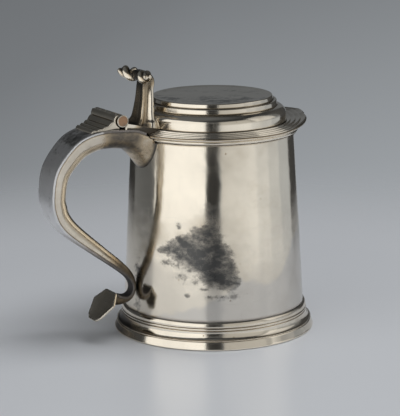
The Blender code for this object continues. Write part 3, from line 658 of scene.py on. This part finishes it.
def handle_inside():
    """Belly: half an ellipse, as wide as the strap and as deep as the handle, carried along the path."""
    path, normals = handle_path()
    reach, height, width, depth = (path[:, k:k + 1] for k in range(4))
    start = STRAP_THICKNESS + SEAT_GAP / 3
    half = width / 2 - 0.0005
    drop = depth - start
    turn = np.radians(np.linspace(0, 180, 49))[None]
    cover = np.linspace(-1, 1, 13)[None, 1:-1]
    side = np.concatenate((half * np.cos(turn), half * cover), 1)
    deep = np.concatenate((start + drop * np.sin(turn), start + 0 * half * cover), 1)
    along = np.linspace(0, 1, len(path))[:, None]
    points = swept(path, normals, side, deep + hammered(along * 6, side, 0.00003, 4))
    seam = np.concatenate((np.exp(-np.sin(turn) / 0.06), np.ones(cover.shape)), 1) * 0.8
    points = off_the_barrel(points, SEAT_GAP)
    gap = np.linalg.norm(points[..., :2] - (AXIS_X, 0.0), axis=-1) - wall_radius(points[..., 2])
    joint = np.exp(-unit(gap) / 0.0030)
    bend = unit((height - 0.1180) / 0.0150) * np.clip((0.0960 - reach) / 0.0150, 0.4, 1)
    tail = 0.45 * unit((0.0620 - height) / 0.0150)
    film = np.maximum(np.maximum(seam, joint) * 0.6, 0.17)
    film = np.maximum(film, np.maximum(bend * np.clip(gap / 0.0300, 0.28, 0.42), tail))
    patchy = np.maximum(0.30 * joint, 0.46 * bend * np.clip(gap / 0.0160, 0.45, 1))
    return surface("handle_inside", points, True, False, ends="rows", hollow=film, stain=patchy)


def end_shield():
    """Shield: rings of its outline, drawn in towards its middle, over a dished face, its edge and its back."""
    length, half, thick = 0.0228, 0.0140, 0.0015
    right = np.array(((0.0, 0.493), (0.386, 1.0), (0.864, 0.614), (1.0, 0.329))) * (length, half)
    outline = np.concatenate((right, right[::-1] * (1, -1)))
    outline = rounded(evenly(outline, 0.0004, closed=True), 0.0007)
    middle = np.array((length * 0.5, 0.0))
    profile = joined(
        np.stack((np.linspace(0, 0.93, 20), thick - 0.0006 * (1 - np.linspace(0, 1, 20) ** 2)), -1),
        bow((0.965, thick - 0.0004), (0.035, 0.0004), 90, 0, 6),
        bow((0.965, 0.0004), (0.035, 0.0004), 0, -90, 6),
        line((0.9, 0.0), (0.0, 0.0), 8), (0.0, 0.0),
    )
    flat = middle + profile[:, None, :1] * (outline - middle)
    run, rise = math.cos(SHIELD_TILT), math.sin(SHIELD_TILT)
    reach, height = handle_path()[0][-1, :2]
    out = profile[:, None, 1] + SEAT_GAP
    points = at_handle(
        reach + run * out + rise * flat[..., 0], flat[..., 1], height + rise * out - run * flat[..., 0],
    )
    # Painted shade on the shield's back, light film on its dished face, and its rim worn bright
    film = np.where(profile[:, 1:] < thick / 2, 0.60, 0.15)
    return surface("end_shield", points, True, False, hollow=np.where(profile[:, :1] < 0.9, film, -0.8))


def strap_top(reach):
    """Height of the strap's upper run at a reach, read from its path."""
    path = handle_path()[0]
    rising = path[:int(np.argmax(path[:, 0]))]
    return np.interp(reach, rising[:, 0], rising[:, 1])


def slab(name, outline, half_width, ease, base, reshape=None, foot=0.0, sunk=1.0):
    """Outline in reach and height carried across the handle, its side edges eased by quarter circles.

    Painted shade lies on the sides just above the base, where they sit on the strap or the brim, and film,
    weighed by sunk, in hollows; the rest of the sides is kept nearly clean. Edges above the foot are worn
    bright.
    """
    tangent = np.roll(outline, -1, 0) - np.roll(outline, 1, 0)
    tangent /= np.linalg.norm(tangent, axis=1, keepdims=True)
    inward = np.stack((-tangent[:, 1], tangent[:, 0]), -1)
    area = (outline[:, 0] * np.roll(outline[:, 1], -1) - np.roll(outline[:, 0], -1) * outline[:, 1]).sum()
    way = int(np.sign(area))
    inward *= way
    turn = np.radians(np.linspace(0, 90, 6))

    def both_edges(edge, level):
        return np.concatenate((edge, np.full(13, level), edge[::-1]))[None] * ease

    inset, drawn = both_edges(1 - np.sin(turn), 0.0), both_edges(1 - np.cos(turn), 1.0)
    reach = outline[:, :1] + inward[:, :1] * inset
    height = outline[:, 1:] + inward[:, 1:] * inset
    half = half_width(reach)
    sign = np.concatenate((-np.ones(6), np.linspace(-1, 1, 15)[1:-1], np.ones(6)))[None]
    points = at_handle(reach, sign * (half - drawn), height)
    if reshape:
        points = reshape(points)
    deep = hollows(outline[::-way], True)[::-way]
    deep = np.where(deep < 0, 2.5 * deep, sunk * deep).clip(-0.8, 1)[:, None] + 0 * sign
    edge = np.zeros(sign.shape)
    edge[:, 1:6] = edge[:, -6:-1] = 1
    deep = np.where(edge * (points[..., 2] > foot), -1.0, deep)
    # Painted shade along the sides where they sit on the base; the rest of the sides nearly clean
    deep[:, (0, -1)] = np.where(outline[:, 1:] < base(outline[:, :1]) + 0.0003, 1.4, -0.2)
    return surface(name, points, False, True, ends="columns", hollow=deep)


def reeded_drop():
    """Drop: a curl round the knuckles, then reeds, each the arch of a sine, on a falling power curve."""
    axis = (HINGE_REACH, HINGE_HEIGHT)
    back = CRADLE + 0.0008
    crest, end = HINGE_REACH + back, HINGE_REACH + DROP_LENGTH
    share = np.linspace(0, 1, 121)[1:]
    reach = crest + (end - crest) * share
    tall = HINGE_HEIGHT - strap_top(crest) - SEAT_GAP
    thickness = 0.0007 + (tall - 0.0007) * (1 - share) ** 3.2
    thickness += 0.0010 * np.abs(np.sin(math.pi * 4 * share)) ** 0.7
    base = strap_top(reach) + SEAT_GAP / 2
    cradle = bow(axis, (CRADLE, CRADLE), -60, 45, 30)
    under = np.linspace(end, cradle[0, 0], 40)
    lip = 0.0004
    tip = bow(axis, (CRADLE + lip, CRADLE + lip), 45, 45, 1)[0]
    outline = joined(
        cradle, bow(tip, (lip, lip), 225, 45, 8)[1:-1],
        bow(axis, (back, back), 45, 0, 14), np.stack((reach, base + thickness), -1),
        np.stack((under, strap_top(under) + SEAT_GAP / 2), -1),
    )
    outline = evenly(outline, 0.00012, closed=True)

    def half_width(reach):
        return HINGE_LENGTH * (1 - 0.37 * (reach - HINGE_REACH) / DROP_LENGTH) / 2

    return slab("reeded_drop", outline, half_width, 0.0003, base=strap_top)


def off_the_lid(points):
    """Push points that lie inside the lid's steps out to their surface, along the radius."""
    steps = joined(
        bow((UPPER_RADIUS, SHOULDER), (DRUM_RADIUS - UPPER_RADIUS, LOWER_STEP - SHOULDER), 0, 84, 12),
        (UPPER_RADIUS, UPPER_STEP), (BEAD_RADIUS, UPPER_STEP + 0.0001), (BEAD_RADIUS, LID_TOP),
    )
    least = np.interp(points[..., 2], steps[:, 1], steps[:, 0], right=0.0) + SEAT_GAP / 2
    return pushed_out(points, least)


def on_the_brim(points):
    """Bend the plate's inner end along the drum, and lift what lies under the brim or the strap up to it."""
    reach, side, height = AXIS_X - points[..., 0], points[..., 1], points[..., 2]
    near = unit((LEAF_BEND - reach) / (LEAF_BEND - LEAF_TOP[0, 0]))
    reach = reach - near * (LEAF_TOP[0, 0] - np.sqrt(LEAF_TOP[0, 0] ** 2 - side ** 2))
    seat = np.maximum(brim_height(np.hypot(reach, side)) + 0.0003, strap_top(reach)) + SEAT_GAP / 2
    return at_handle(reach, side, np.maximum(height, seat))


def lid_leaf():
    """Hinge plate: its top is a curve through stations, which sweeps up to the cradle round the knuckles."""
    cradle = bow((HINGE_REACH, HINGE_HEIGHT), (CRADLE, CRADLE), 240, 203, 14)
    top = smooth_path(joined(LEAF_TOP, cradle[-1]), 8, (0.8, 0.6))
    under = np.linspace(LEAF_TOP[0, 0], cradle[0, 0], 50)
    outline = joined(cradle, top[::-1][1:], np.stack((under, np.full(50, BRIM_HEIGHT)), -1))
    outline = evenly(outline, 0.0002, closed=True)

    def half_width(reach):
        return (0.0290 + 0.0066 * (reach - LEAF_INNER) / (HINGE_REACH - LEAF_INNER)) / 2

    return slab(
        "lid_leaf", outline, half_width, 0.0004,
        base=lambda reach: BRIM_HEIGHT, reshape=on_the_brim, foot=0.1396, sunk=0.15,
    )


def across_hinge(name, profile, closed, middle, flip=1, stain=0.0):
    """Profile of radii and lengths carried round the hinge's axis, at a place along it."""
    angle = circle(72)
    radius, along = profile[:, :1], profile[:, 1:]
    points = np.stack(np.broadcast_arrays(
        HINGE_X + radius * np.cos(angle), middle + flip * along, HINGE_HEIGHT + radius * np.sin(angle),
    ), -1)
    sunk = hollows(profile, closed, 0.0004).clip(-1, 1)[:, None]
    return surface(name, points, True, closed, hollow=sunk, stain=stain)


def hinge_tubes():
    """Five tubes: an outside hollowed twice by a sine, eased ends and a bore, the end ones sunk for discs."""
    count, gap, bore, socket, ease = 5, 0.0003, 0.0017, 0.0034, 0.0003
    length = (HINGE_LENGTH - (count - 1) * gap) / count
    tubes = []
    for place in range(count):
        at_end = place in (0, count - 1)
        rim, end, inset = KNUCKLE_RADIUS - ease, length / 2, 0.0004
        along = np.linspace(end - inset, inset - end, 24)
        waist = 0.00045 * np.abs(np.sin(2 * math.pi * along / (length - 2 * inset)))
        outside = np.stack((KNUCKLE_RADIUS - waist, along), -1)
        sunk = ((bore, end - DISC_THICKNESS), (socket, end - DISC_THICKNESS), (socket, end))
        profile = joined(
            bow((rim, end - ease), (ease, ease), 90, 10, 6), outside,
            bow((rim, ease - end), (ease, ease), -10, -90, 6), (bore, -end),
            sunk if at_end else ((bore, end),),
        )
        profile = evenly(profile, 0.0001, closed=True)
        middle = (length + gap) * (place - (count - 1) / 2)
        tubes.append(across_hinge(f"hinge_tube_{place + 1}", profile, True, middle, -1 if place == 0 else 1))
    return tubes


def hinge_disc(name, sign):
    """Coppery disc let into the hinge's end: a low dome with an eased edge."""
    radius, ease = 0.0033, 0.0003
    out = np.linspace(0, radius - ease, 14)
    face = DISC_THICKNESS - 0.0001 - 0.00025 * (out / radius) ** 2 - 0.00012 * bell(out, 0.0007)
    profile = joined(
        np.stack((out, face), -1), bow((radius - ease, face[-1] - ease), (ease, ease), 80, 0, 5),
        (radius, 0.0), (0.0, 0.0),
    )
    base = HINGE_LENGTH / 2 + SEAT_GAP - DISC_THICKNESS
    return across_hinge(name, profile, False, sign * base, sign, stain=0.32)


def stem_path():
    """Post's middle line as reach, height, depth and width, with normals that lie level at its foot."""
    stations = np.stack((
        STEM_REACH + STEM_DEPTH * STEM_STATIONS[:, 0], STEM_SEAT + STEM_HEIGHT * STEM_STATIONS[:, 1],
        STEM_DEPTH * STEM_STATIONS[:, 2], STEM_WIDTH * STEM_STATIONS[:, 3],
    ), -1)
    path = smooth_path(stations, 14, (1.0, 0.0))
    upright = 1 - unit((path[:, 1:2] - STEM_SEAT) / (0.4 * STEM_HEIGHT))
    normals = upright * (1.0, 0.0) + (1 - upright) * path_normals(path, (1.0, 0.0))
    return path, normals / np.linalg.norm(normals, axis=1, keepdims=True)


def thumb_post():
    """Post: a squared superellipse, wider towards the lid, hollowed at its sides, carried up a bent path."""
    path, normals = stem_path()
    turn = circle(120)
    side, deep = (np.sign(wave) * np.abs(wave) ** 0.45 for wave in (np.cos(turn), np.sin(turn)))
    rise = unit((path[:, 1:2] - STEM_SEAT) / STEM_HEIGHT)
    flute = 0.26 * bell(deep - 0.25, 0.50) * (1 - rise ** 6)
    trough = 0.22 * bell(side, 0.6) * unit(deep) * (1 - rise ** 6)
    apart = lengths(path[:, :2])[:, None]
    end = unit((apart[-1] - apart) / 0.0016)
    shut = np.sqrt(1 - (1 - end) ** 2) * 0.9 + 0.1
    half, back = shut * path[:, 3:4] / 2, shut * path[:, 2:3] / 2
    points = swept(path, normals, half * side * (1 - flute) * (1 - 0.10 * deep), back * (deep - trough))
    plate = np.interp(AXIS_X - points[..., 0], LEAF_TOP[:, 0], LEAF_TOP[:, 1]) - SEAT_GAP
    points[..., 2] = np.maximum(points[..., 2], plate)
    # Film in the side flutes, darker over the back and at the foot, and painted shade over the head for its dark
    # reflection; the front rib below the head is then worn clean
    film_and_painted_shade = 1.2 * flute * np.abs(side) + unit(deep) ** 3 * 0.34 + 0.2 * np.exp(-rise / 0.03) + 0.75 * rise ** 6
    film_and_painted_shade = film_and_painted_shade - (deep < -0.35) * (rise < 0.7)
    return surface("thumb_post", off_the_lid(points), True, False, ends="rows", hollow=film_and_painted_shade)


def thumb_horn(name, sign):
    """Horn: two strands, the union of two circles, twisted along a bud-shaped bar with a round tip."""
    reach, height, _, width = stem_path()[0][-1]
    share = np.concatenate((np.linspace(0, 0.90, 90), 1 - 0.10 * (1 - np.linspace(0, 1, 16)[1:]) ** 2))[:, None]
    turn = circle(96)
    radius = 0.0040 + 0.0085 * share - 0.0185 * share ** 2 + 0.0090 * share ** 3
    tip = unit((1 - share) / 0.10)
    radius = radius * np.sqrt(1 - (1 - tip) ** 2)
    twist = turn - sign * (2 * math.pi * 0.80 * (share - 1) + 0.2)
    apart, strand = 0.40, 0.60
    lobe = apart * np.abs(np.cos(twist)) + np.sqrt(strand ** 2 - (apart * np.sin(twist)) ** 2)
    across = sign * (width / 2 + 2 * SEAT_GAP + 0.0140 * share)
    points = at_handle(
        reach - 0.0026 + 0.0030 * share + radius * lobe * np.cos(turn), across,
        height + 0.0016 * share + radius * lobe * np.sin(turn),
    )
    film = ((1 - lobe) / 0.55) ** 3 * 0.8 + 0.16
    return surface(name, points, True, False, ends="rows", hollow=film, sharp=70)


def node(tree, kind, inputs=None, **settings):
    """One node with its settings; an input is a value, or a socket that is linked to it."""
    made = tree.nodes.new(kind)
    for key, value in settings.items():
        setattr(made, key, value)
    for key, value in (inputs or {}).items():
        if isinstance(value, bpy.types.NodeSocket):
            tree.links.new(value, made.inputs[key])
        else:
            made.inputs[key].default_value = value
    return made


def sums(operation, first, second, clamp=False):
    """One step of sums on two values, at least one of them a socket, in that socket's tree."""
    tree = (first if isinstance(first, bpy.types.NodeSocket) else second).id_data
    return node(tree, "ShaderNodeMath", {0: first, 1: second}, operation=operation, use_clamp=clamp).outputs[0]


plus, minus, times, larger = (
    functools.partial(sums, operation) for operation in ("ADD", "SUBTRACT", "MULTIPLY", "MAXIMUM")
)


def spread(value, low, high, to_low=0.0, to_high=1.0):
    """Smooth step of a value between two limits."""
    made = node(
        value.id_data, "ShaderNodeMapRange",
        {"Value": value, "From Min": low, "From Max": high, "To Min": to_low, "To Max": to_high},
        interpolation_type="SMOOTHSTEP",
    )
    return made.outputs["Result"]


def noise(vector, scale, detail, rough):
    """Noise over a vector."""
    inputs = {"Vector": vector, "Scale": scale, "Detail": detail, "Roughness": rough}
    return node(vector.id_data, "ShaderNodeTexNoise", inputs).outputs["Fac"]


def mixed(factor, first, second):
    """Colour that goes from the first to the second by a factor."""
    inputs = {"Factor": factor, 6: first, 7: second}
    return node(factor.id_data, "ShaderNodeMix", inputs, data_type="RGBA").outputs[2]


def shared_effect(name, inputs, outputs):
    """Empty node group with named float inputs and outputs, and the sockets inside it."""
    tree = bpy.data.node_groups.new(name, "ShaderNodeTree")
    for label, value in inputs.items():
        tree.interface.new_socket(label, in_out="INPUT", socket_type="NodeSocketFloat").default_value = value
    for label in outputs:
        tree.interface.new_socket(label, in_out="OUTPUT", socket_type="NodeSocketFloat")
    return tree, tree.nodes.new("NodeGroupInput").outputs, tree.nodes.new("NodeGroupOutput").inputs


def tarnish_effect():
    """Brown film: cloudy over the surface, heavier in hollows, over stains and where shade is painted, broken up
    at its edges.
    """
    tree, given, made = shared_effect(
        "tarnish", {"Hollow": 0.0, "Stain": 0.0, "Cover": 0.3, "Crevice": 1.0}, ("Film", "Grime", "Cloud"),
    )
    where = node(tree, "ShaderNodeTexCoord").outputs["Object"]
    cloud = noise(where, 26.0, 3.0, 0.5)
    drawn = node(tree, "ShaderNodeMapping", {"Vector": where, "Scale": (105, 105, 150)}).outputs[0]
    patch = noise(drawn, 1.0, 8.0, 0.68)
    speck = noise(where, 620.0, 3.0, 0.6)
    start = minus(0.85, times(given["Cover"], 0.5))
    cloudy = spread(minus(cloud, start), 0.0, 0.35)
    deep = times(given["Hollow"], given["Crevice"])
    deep = plus(deep, times(minus(patch, 0.5), 0.20))
    sunk = spread(deep, 0.08, 0.55)
    drift = times(minus(noise(where, 85.0, 2.0, 0.5), 0.5), 0.9)
    rough = times(minus(patch, 0.5), 1.9)
    broken = plus(plus(given["Stain"], drift), rough)
    broken = plus(broken, times(minus(speck, 0.5), 0.4))
    thick = spread(plus(patch, times(given["Stain"], 0.25)), 0.45, 0.85, 0.30, 1.0)
    stained = times(spread(broken, 0.20, 0.62), spread(given["Stain"], 0.02, 0.30))
    tree.links.new(times(stained, thick), made["Grime"])
    pits = times(spread(noise(where, 330.0, 1.0, 0.5), 0.76, 0.84), 0.5)
    film = larger(larger(times(cloudy, 0.40), sunk), pits)
    tree.links.new(times(film, plus(given["Hollow"], 1.0, clamp=True)), made["Film"])
    tree.links.new(cloud, made["Cloud"])
    return tree


def handling_effect():
    """Marks of use: hair scratches, which are noise drawn out along three directions, and shallow dents."""
    tree, given, made = shared_effect("handling", {"Dents": 1.0}, ("Scuff", "Height"))
    where = node(tree, "ShaderNodeTexCoord").outputs["Object"]
    hairs = None
    for turn, scale in (
        ((0.3, 0.2, 0.9), (900, 40, 60)), ((1.1, 0.7, 0.1), (40, 1100, 50)), ((0.5, 1.3, 2.1), (60, 50, 1000)),
    ):
        drawn = node(tree, "ShaderNodeMapping", {"Vector": where, "Rotation": turn, "Scale": scale}).outputs[0]
        hair = spread(noise(drawn, 1.0, 2.0, 0.5), 0.60, 0.74)
        hairs = hair if hairs is None else larger(hairs, hair)
    dents = noise(where, 75.0, 2.0, 0.4)
    fine = noise(where, 1400.0, 2.0, 0.5)
    height = times(dents, given["Dents"])
    height = minus(height, times(hairs, 0.03))
    height = plus(height, times(fine, 0.02))
    tree.links.new(plus(times(hairs, 0.6), times(fine, 0.3)), made["Scuff"])
    tree.links.new(height, made["Height"])
    return tree


TARNISH = tarnish_effect()
HANDLING = handling_effect()


def new_material(name, **constants):
    """Material, its node tree and its shader, with constants on the sockets they are named after."""
    material = bpy.data.materials.new(name)
    material.use_nodes = True
    shader = material.node_tree.nodes["Principled BSDF"]
    for label, value in constants.items():
        shader.inputs[label].default_value = value
    return material, material.node_tree, shader


def metal(name, clean, film, dark, rough, cover, crevice, dents):
    """Metal with its tarnish: clean colour to film to dark, rougher where it is filmed or scuffed."""
    material, tree, shader = new_material(name, Metallic=1.0)
    hollow, stain, haze = (
        node(tree, "ShaderNodeAttribute", attribute_name=mark).outputs["Fac"]
        for mark in ("hollow", "stain", "haze")
    )
    inputs = {"Hollow": hollow, "Stain": stain, "Cover": cover, "Crevice": crevice}
    tarnish = node(tree, "ShaderNodeGroup", inputs, node_tree=TARNISH).outputs
    marks = node(tree, "ShaderNodeGroup", {"Dents": dents}, node_tree=HANDLING).outputs
    ramp = node(tree, "ShaderNodeValToRGB", {"Fac": tarnish["Film"]})
    ramp.color_ramp.elements[0].color = (*clean, 1)
    ramp.color_ramp.elements[1].color = (*dark, 1)
    ramp.color_ramp.elements.new(0.40).color = (*film, 1)
    cloud = spread(tarnish["Cloud"], 0.3, 0.75, 1.0, 0.86)
    tint = node(tree, "ShaderNodeVectorMath", {0: ramp.outputs["Color"], "Scale": cloud}, operation="SCALE")
    hazy = mixed(times(haze, 0.45), tint.outputs[0], (0.56, 0.56, 0.57, 1))
    grimy = mixed(tarnish["Grime"], hazy, (0.105, 0.104, 0.102, 1))
    for more in (
        times(tarnish["Film"], 0.22), times(tarnish["Grime"], 0.15),
        spread(tarnish["Cloud"], 0.45, 0.75, 0.0, 0.10), times(marks["Scuff"], 0.10),
    ):
        rough = plus(rough, more)
    bump = node(tree, "ShaderNodeBump", {"Height": marks["Height"], "Strength": 0.25, "Distance": 0.0004})
    for label, socket in (("Base Color", grimy), ("Roughness", rough), ("Normal", bump.outputs["Normal"])):
        tree.links.new(socket, shader.inputs[label])
    return material


# Finishes: slot, clean, filmed and dark colours, roughness, film's cover, pull of hollows and painted shade,
# depth of dents
FINISHES = {look[0]: metal(*look) for look in (
    ("polished_silver", (0.92, 0.845, 0.725), (0.58, 0.47, 0.33), (0.10, 0.09, 0.078), 0.10, 0.60, 1.0, 0.6),
    ("worn_silver", (0.86, 0.855, 0.86), (0.48, 0.44, 0.41), (0.09, 0.085, 0.085), 0.40, 0.60, 1.0, 0.8),
    ("tarnished_silver", (0.86, 0.79, 0.67), (0.50, 0.42, 0.31), (0.08, 0.068, 0.055), 0.24, 0.55, 1.3, 0.8),
    ("coppery_plug", (0.76, 0.55, 0.40), (0.44, 0.27, 0.17), (0.14, 0.09, 0.06), 0.26, 1.15, 0.8, 1.0),
    ("pin_steel", (0.50, 0.49, 0.48), (0.24, 0.21, 0.18), (0.05, 0.045, 0.04), 0.35, 0.5, 1.0, 0.6),
)}

SIDES = (("near", -1), ("far", 1))

# Pieces, the nodes they replace, and bodies and slots other than those that dress takes as usual
for row in (
    (barrel(), "barrel"),
    (bottom(), "bottom_plate", "tankard", "worn_silver"),
    (foot_ring(), "foot_moulding"),
    (mouth_ring(), "lip_moulding"),
    (lid(), "lid_shell", "lid"),
    (collar(), "lid_bezel", "lid", "worn_silver"),
    (handle_back(), "handle_strap", "tankard", "worn_silver"),
    (handle_inside(), "handle_belly"),
    (end_shield(), "handle_shield", "tankard", "tarnished_silver"),
    (reeded_drop(), "hinge_drop", "tankard", "tarnished_silver"),
    (lid_leaf(), "lid_hinge_plate", "lid"),
    *(
        (hinge_disc(f"hinge_disc_{end}", sign), f"hinge_plug_{end}", "tankard", "coppery_plug")
        for end, sign in SIDES
    ),
    (thumb_post(), "thumbpiece_stem", "lid"),
    *((thumb_horn(f"thumb_horn_{end}", sign), f"thumbpiece_scroll_{end}", "lid") for end, sign in SIDES),
):
    dress(*row)

for place, tube in enumerate(hinge_tubes()):
    owner, body = ("handle", "tankard") if place % 2 == 0 else ("lid", "lid")
    dress(tube, f"{owner}_knuckle_{place // 2 + 1}", body, "tarnished_silver")

frame["nodes"]["hinge_pin"].data.materials.clear()
frame["nodes"]["hinge_pin"].data.materials.append(FINISHES["pin_steel"])


def floor():
    """Pale floor that thins out to the plain backdrop some way from the tankard."""
    radius = np.linspace(0, 0.75, 40)[:, None]
    piece = surface("floor", about_axis(radius, circle(96), -0.0001), True, False)
    material, tree, shader = new_material(
        "pale_floor", **{"Base Color": (0.645, 0.667, 0.705, 1), "Roughness": 0.30, "Specular IOR Level": 0.8},
    )
    where = node(tree, "ShaderNodeTexCoord").outputs["Object"]
    apart = node(tree, "ShaderNodeVectorMath", {0: where}, operation="LENGTH").outputs["Value"]
    tree.links.new(spread(apart, 0.26, 0.60, 1.0, 0.0), shader.inputs["Alpha"])
    piece.data.materials.append(material)


def backdrop():
    """Plain grey surroundings: light towards the floor, dark above, a little lighter straight overhead."""
    world = bpy.data.worlds.new("studio")
    bpy.context.scene.world = world
    world.use_nodes = True
    tree = world.node_tree
    where = node(tree, "ShaderNodeTexCoord").outputs["Generated"]
    up, left = (
        node(tree, "ShaderNodeVectorMath", {0: where, 1: way}, operation="DOT_PRODUCT").outputs["Value"]
        for way in ((-0.22, 0.13, 1.0), (-0.866, 0.5, 0.0))
    )
    up = plus(up, times(larger(left, 0.0), 0.25))
    up = node(tree, "ShaderNodeMapRange", {"Value": up, "From Min": -0.5, "From Max": 1.0}).outputs["Result"]
    ramp = node(tree, "ShaderNodeValToRGB", {"Fac": up})
    greys = (
        (0.093, 0.465), (0.187, 0.340), (0.267, 0.190), (0.347, 0.135), (0.48, 0.138),
        (0.64, 0.085), (0.82, 0.028), (0.91, 0.060), (1.0, 0.120),
    )
    for place, (position, grey) in enumerate(greys):
        stop = ramp.color_ramp.elements[place] if place < 2 else ramp.color_ramp.elements.new(position)
        stop.position = position
        stop.color = (grey * 0.945, grey, grey * 1.055, 1)
    tree.links.new(ramp.outputs["Color"], tree.nodes["Background"].inputs["Color"])


def round_about(bearing, distance, height):
    """Point at a bearing from the camera's side of the tankard, in degrees to the right."""
    angle = VIEW_AZIMUTH + math.radians(bearing)
    return (AXIS_X + distance * math.sin(angle), -distance * math.cos(angle), height)


def soft_light(name, shape, energy, place):
    """Area light that the camera doesn't see."""
    lamp = bpy.data.lights.new(name, "AREA")
    lamp.shape, lamp.energy = shape, energy
    light = placed(name, lamp)
    light.location = place
    light.visible_camera = False
    return light


def panel(name, bearing, width, low, high, radiance, tint, distance=1.7):
    """Upright soft light at a bearing, whose power is its radiance times pi and its area."""
    energy = radiance * math.pi * width * (high - low)
    light = soft_light(name, "RECTANGLE", energy, round_about(bearing, distance, (low + high) / 2))
    light.rotation_euler = (math.radians(90), 0, VIEW_AZIMUTH + math.radians(bearing))
    light.data.size, light.data.size_y, light.data.color = width, high - low, tint


def overhead():
    """Soft light over the floor, which the metal doesn't show."""
    light = soft_light("overhead", "DISK", 31.0, (AXIS_X + 0.48, -0.50, 2.0))
    light.data.size = 1.6
    light.visible_glossy = False


def flag(name, bearing, width, low, high, grey, distance=1.9):
    """Upright dark card at a bearing, which only the metal sees."""
    across = np.linspace(-width / 2, width / 2, 2)[None]
    tall = np.linspace(low, high, 2)[:, None]
    angle = VIEW_AZIMUTH + math.radians(bearing)
    x, y, _ = round_about(bearing, distance, 0.0)
    points = np.broadcast_arrays(x + across * math.cos(angle), y + across * math.sin(angle), tall)
    card = surface(name, np.stack(points, -1), False, False)
    looks = {"Base Color": (grey, grey, grey, 1), "Roughness": 0.9, "Specular IOR Level": 0.0}
    card.data.materials.append(new_material(name, **looks)[0])
    card.visible_camera = card.visible_shadow = card.visible_diffuse = False


def camera():
    """Camera of the photograph: its place about the barrel's axis, its turn, tilt and roll, and its lens."""
    yaw, pitch, roll = (math.radians(angle) for angle in (-0.381, 12.631, -0.561))
    run, rise = math.cos(VIEW_AZIMUTH), math.sin(VIEW_AZIMUTH)
    turn = np.array(((run, -rise, 0), (rise, run, 0), (0, 0, 1)))
    ahead = np.array((math.sin(yaw) * math.cos(pitch), math.cos(yaw) * math.cos(pitch), -math.sin(pitch)))
    right = np.cross(ahead, (0, 0, 1))
    right /= np.linalg.norm(right)
    up = np.cross(right, ahead)
    rolled_right = right * math.cos(roll) + up * math.sin(roll)
    rolled_up = up * math.cos(roll) - right * math.sin(roll)
    axes = turn @ np.stack((rolled_right, rolled_up, -ahead), -1)
    place = turn @ np.array((0, -1.2902, 0.3688)) + (AXIS_X, 0, 0)
    data = bpy.data.cameras.new("camera")
    data.lens = 171.45
    data.clip_end = 50
    eye = placed("camera", data)
    matrix = np.eye(4)
    matrix[:3, :3], matrix[:3, 3] = axes, place
    eye.matrix_world = Matrix(matrix.tolist())
    bpy.context.scene.camera = eye


floor()
backdrop()
panel("left_panel", -47, 2.6, -0.8, 1.7, 0.95, (1.0, 0.995, 0.97))
for name, bearing, width in (
    ("right_panel", 36.7, 1.61), ("wide_panel", 46.8, 2.40), ("widest_panel", 57.8, 3.56),
):
    panel(name, bearing, width, -0.8, 1.7, 0.12, (1.0, 0.96, 0.88))
panel("high_panel", 92, 1.4, 0.35, 2.4, 0.40, (1.0, 0.98, 0.94))
overhead()
flag("front_flag", -0.5, 0.62, -1.2, 0.75, 0.05)
flag("right_flag", 146, 1.2, -1.2, 2.0, 0.09)
flag("left_flag", -148, 1.2, -1.2, 0.9, 0.05)
camera()

bpy.context.scene.view_settings.view_transform = "Standard"
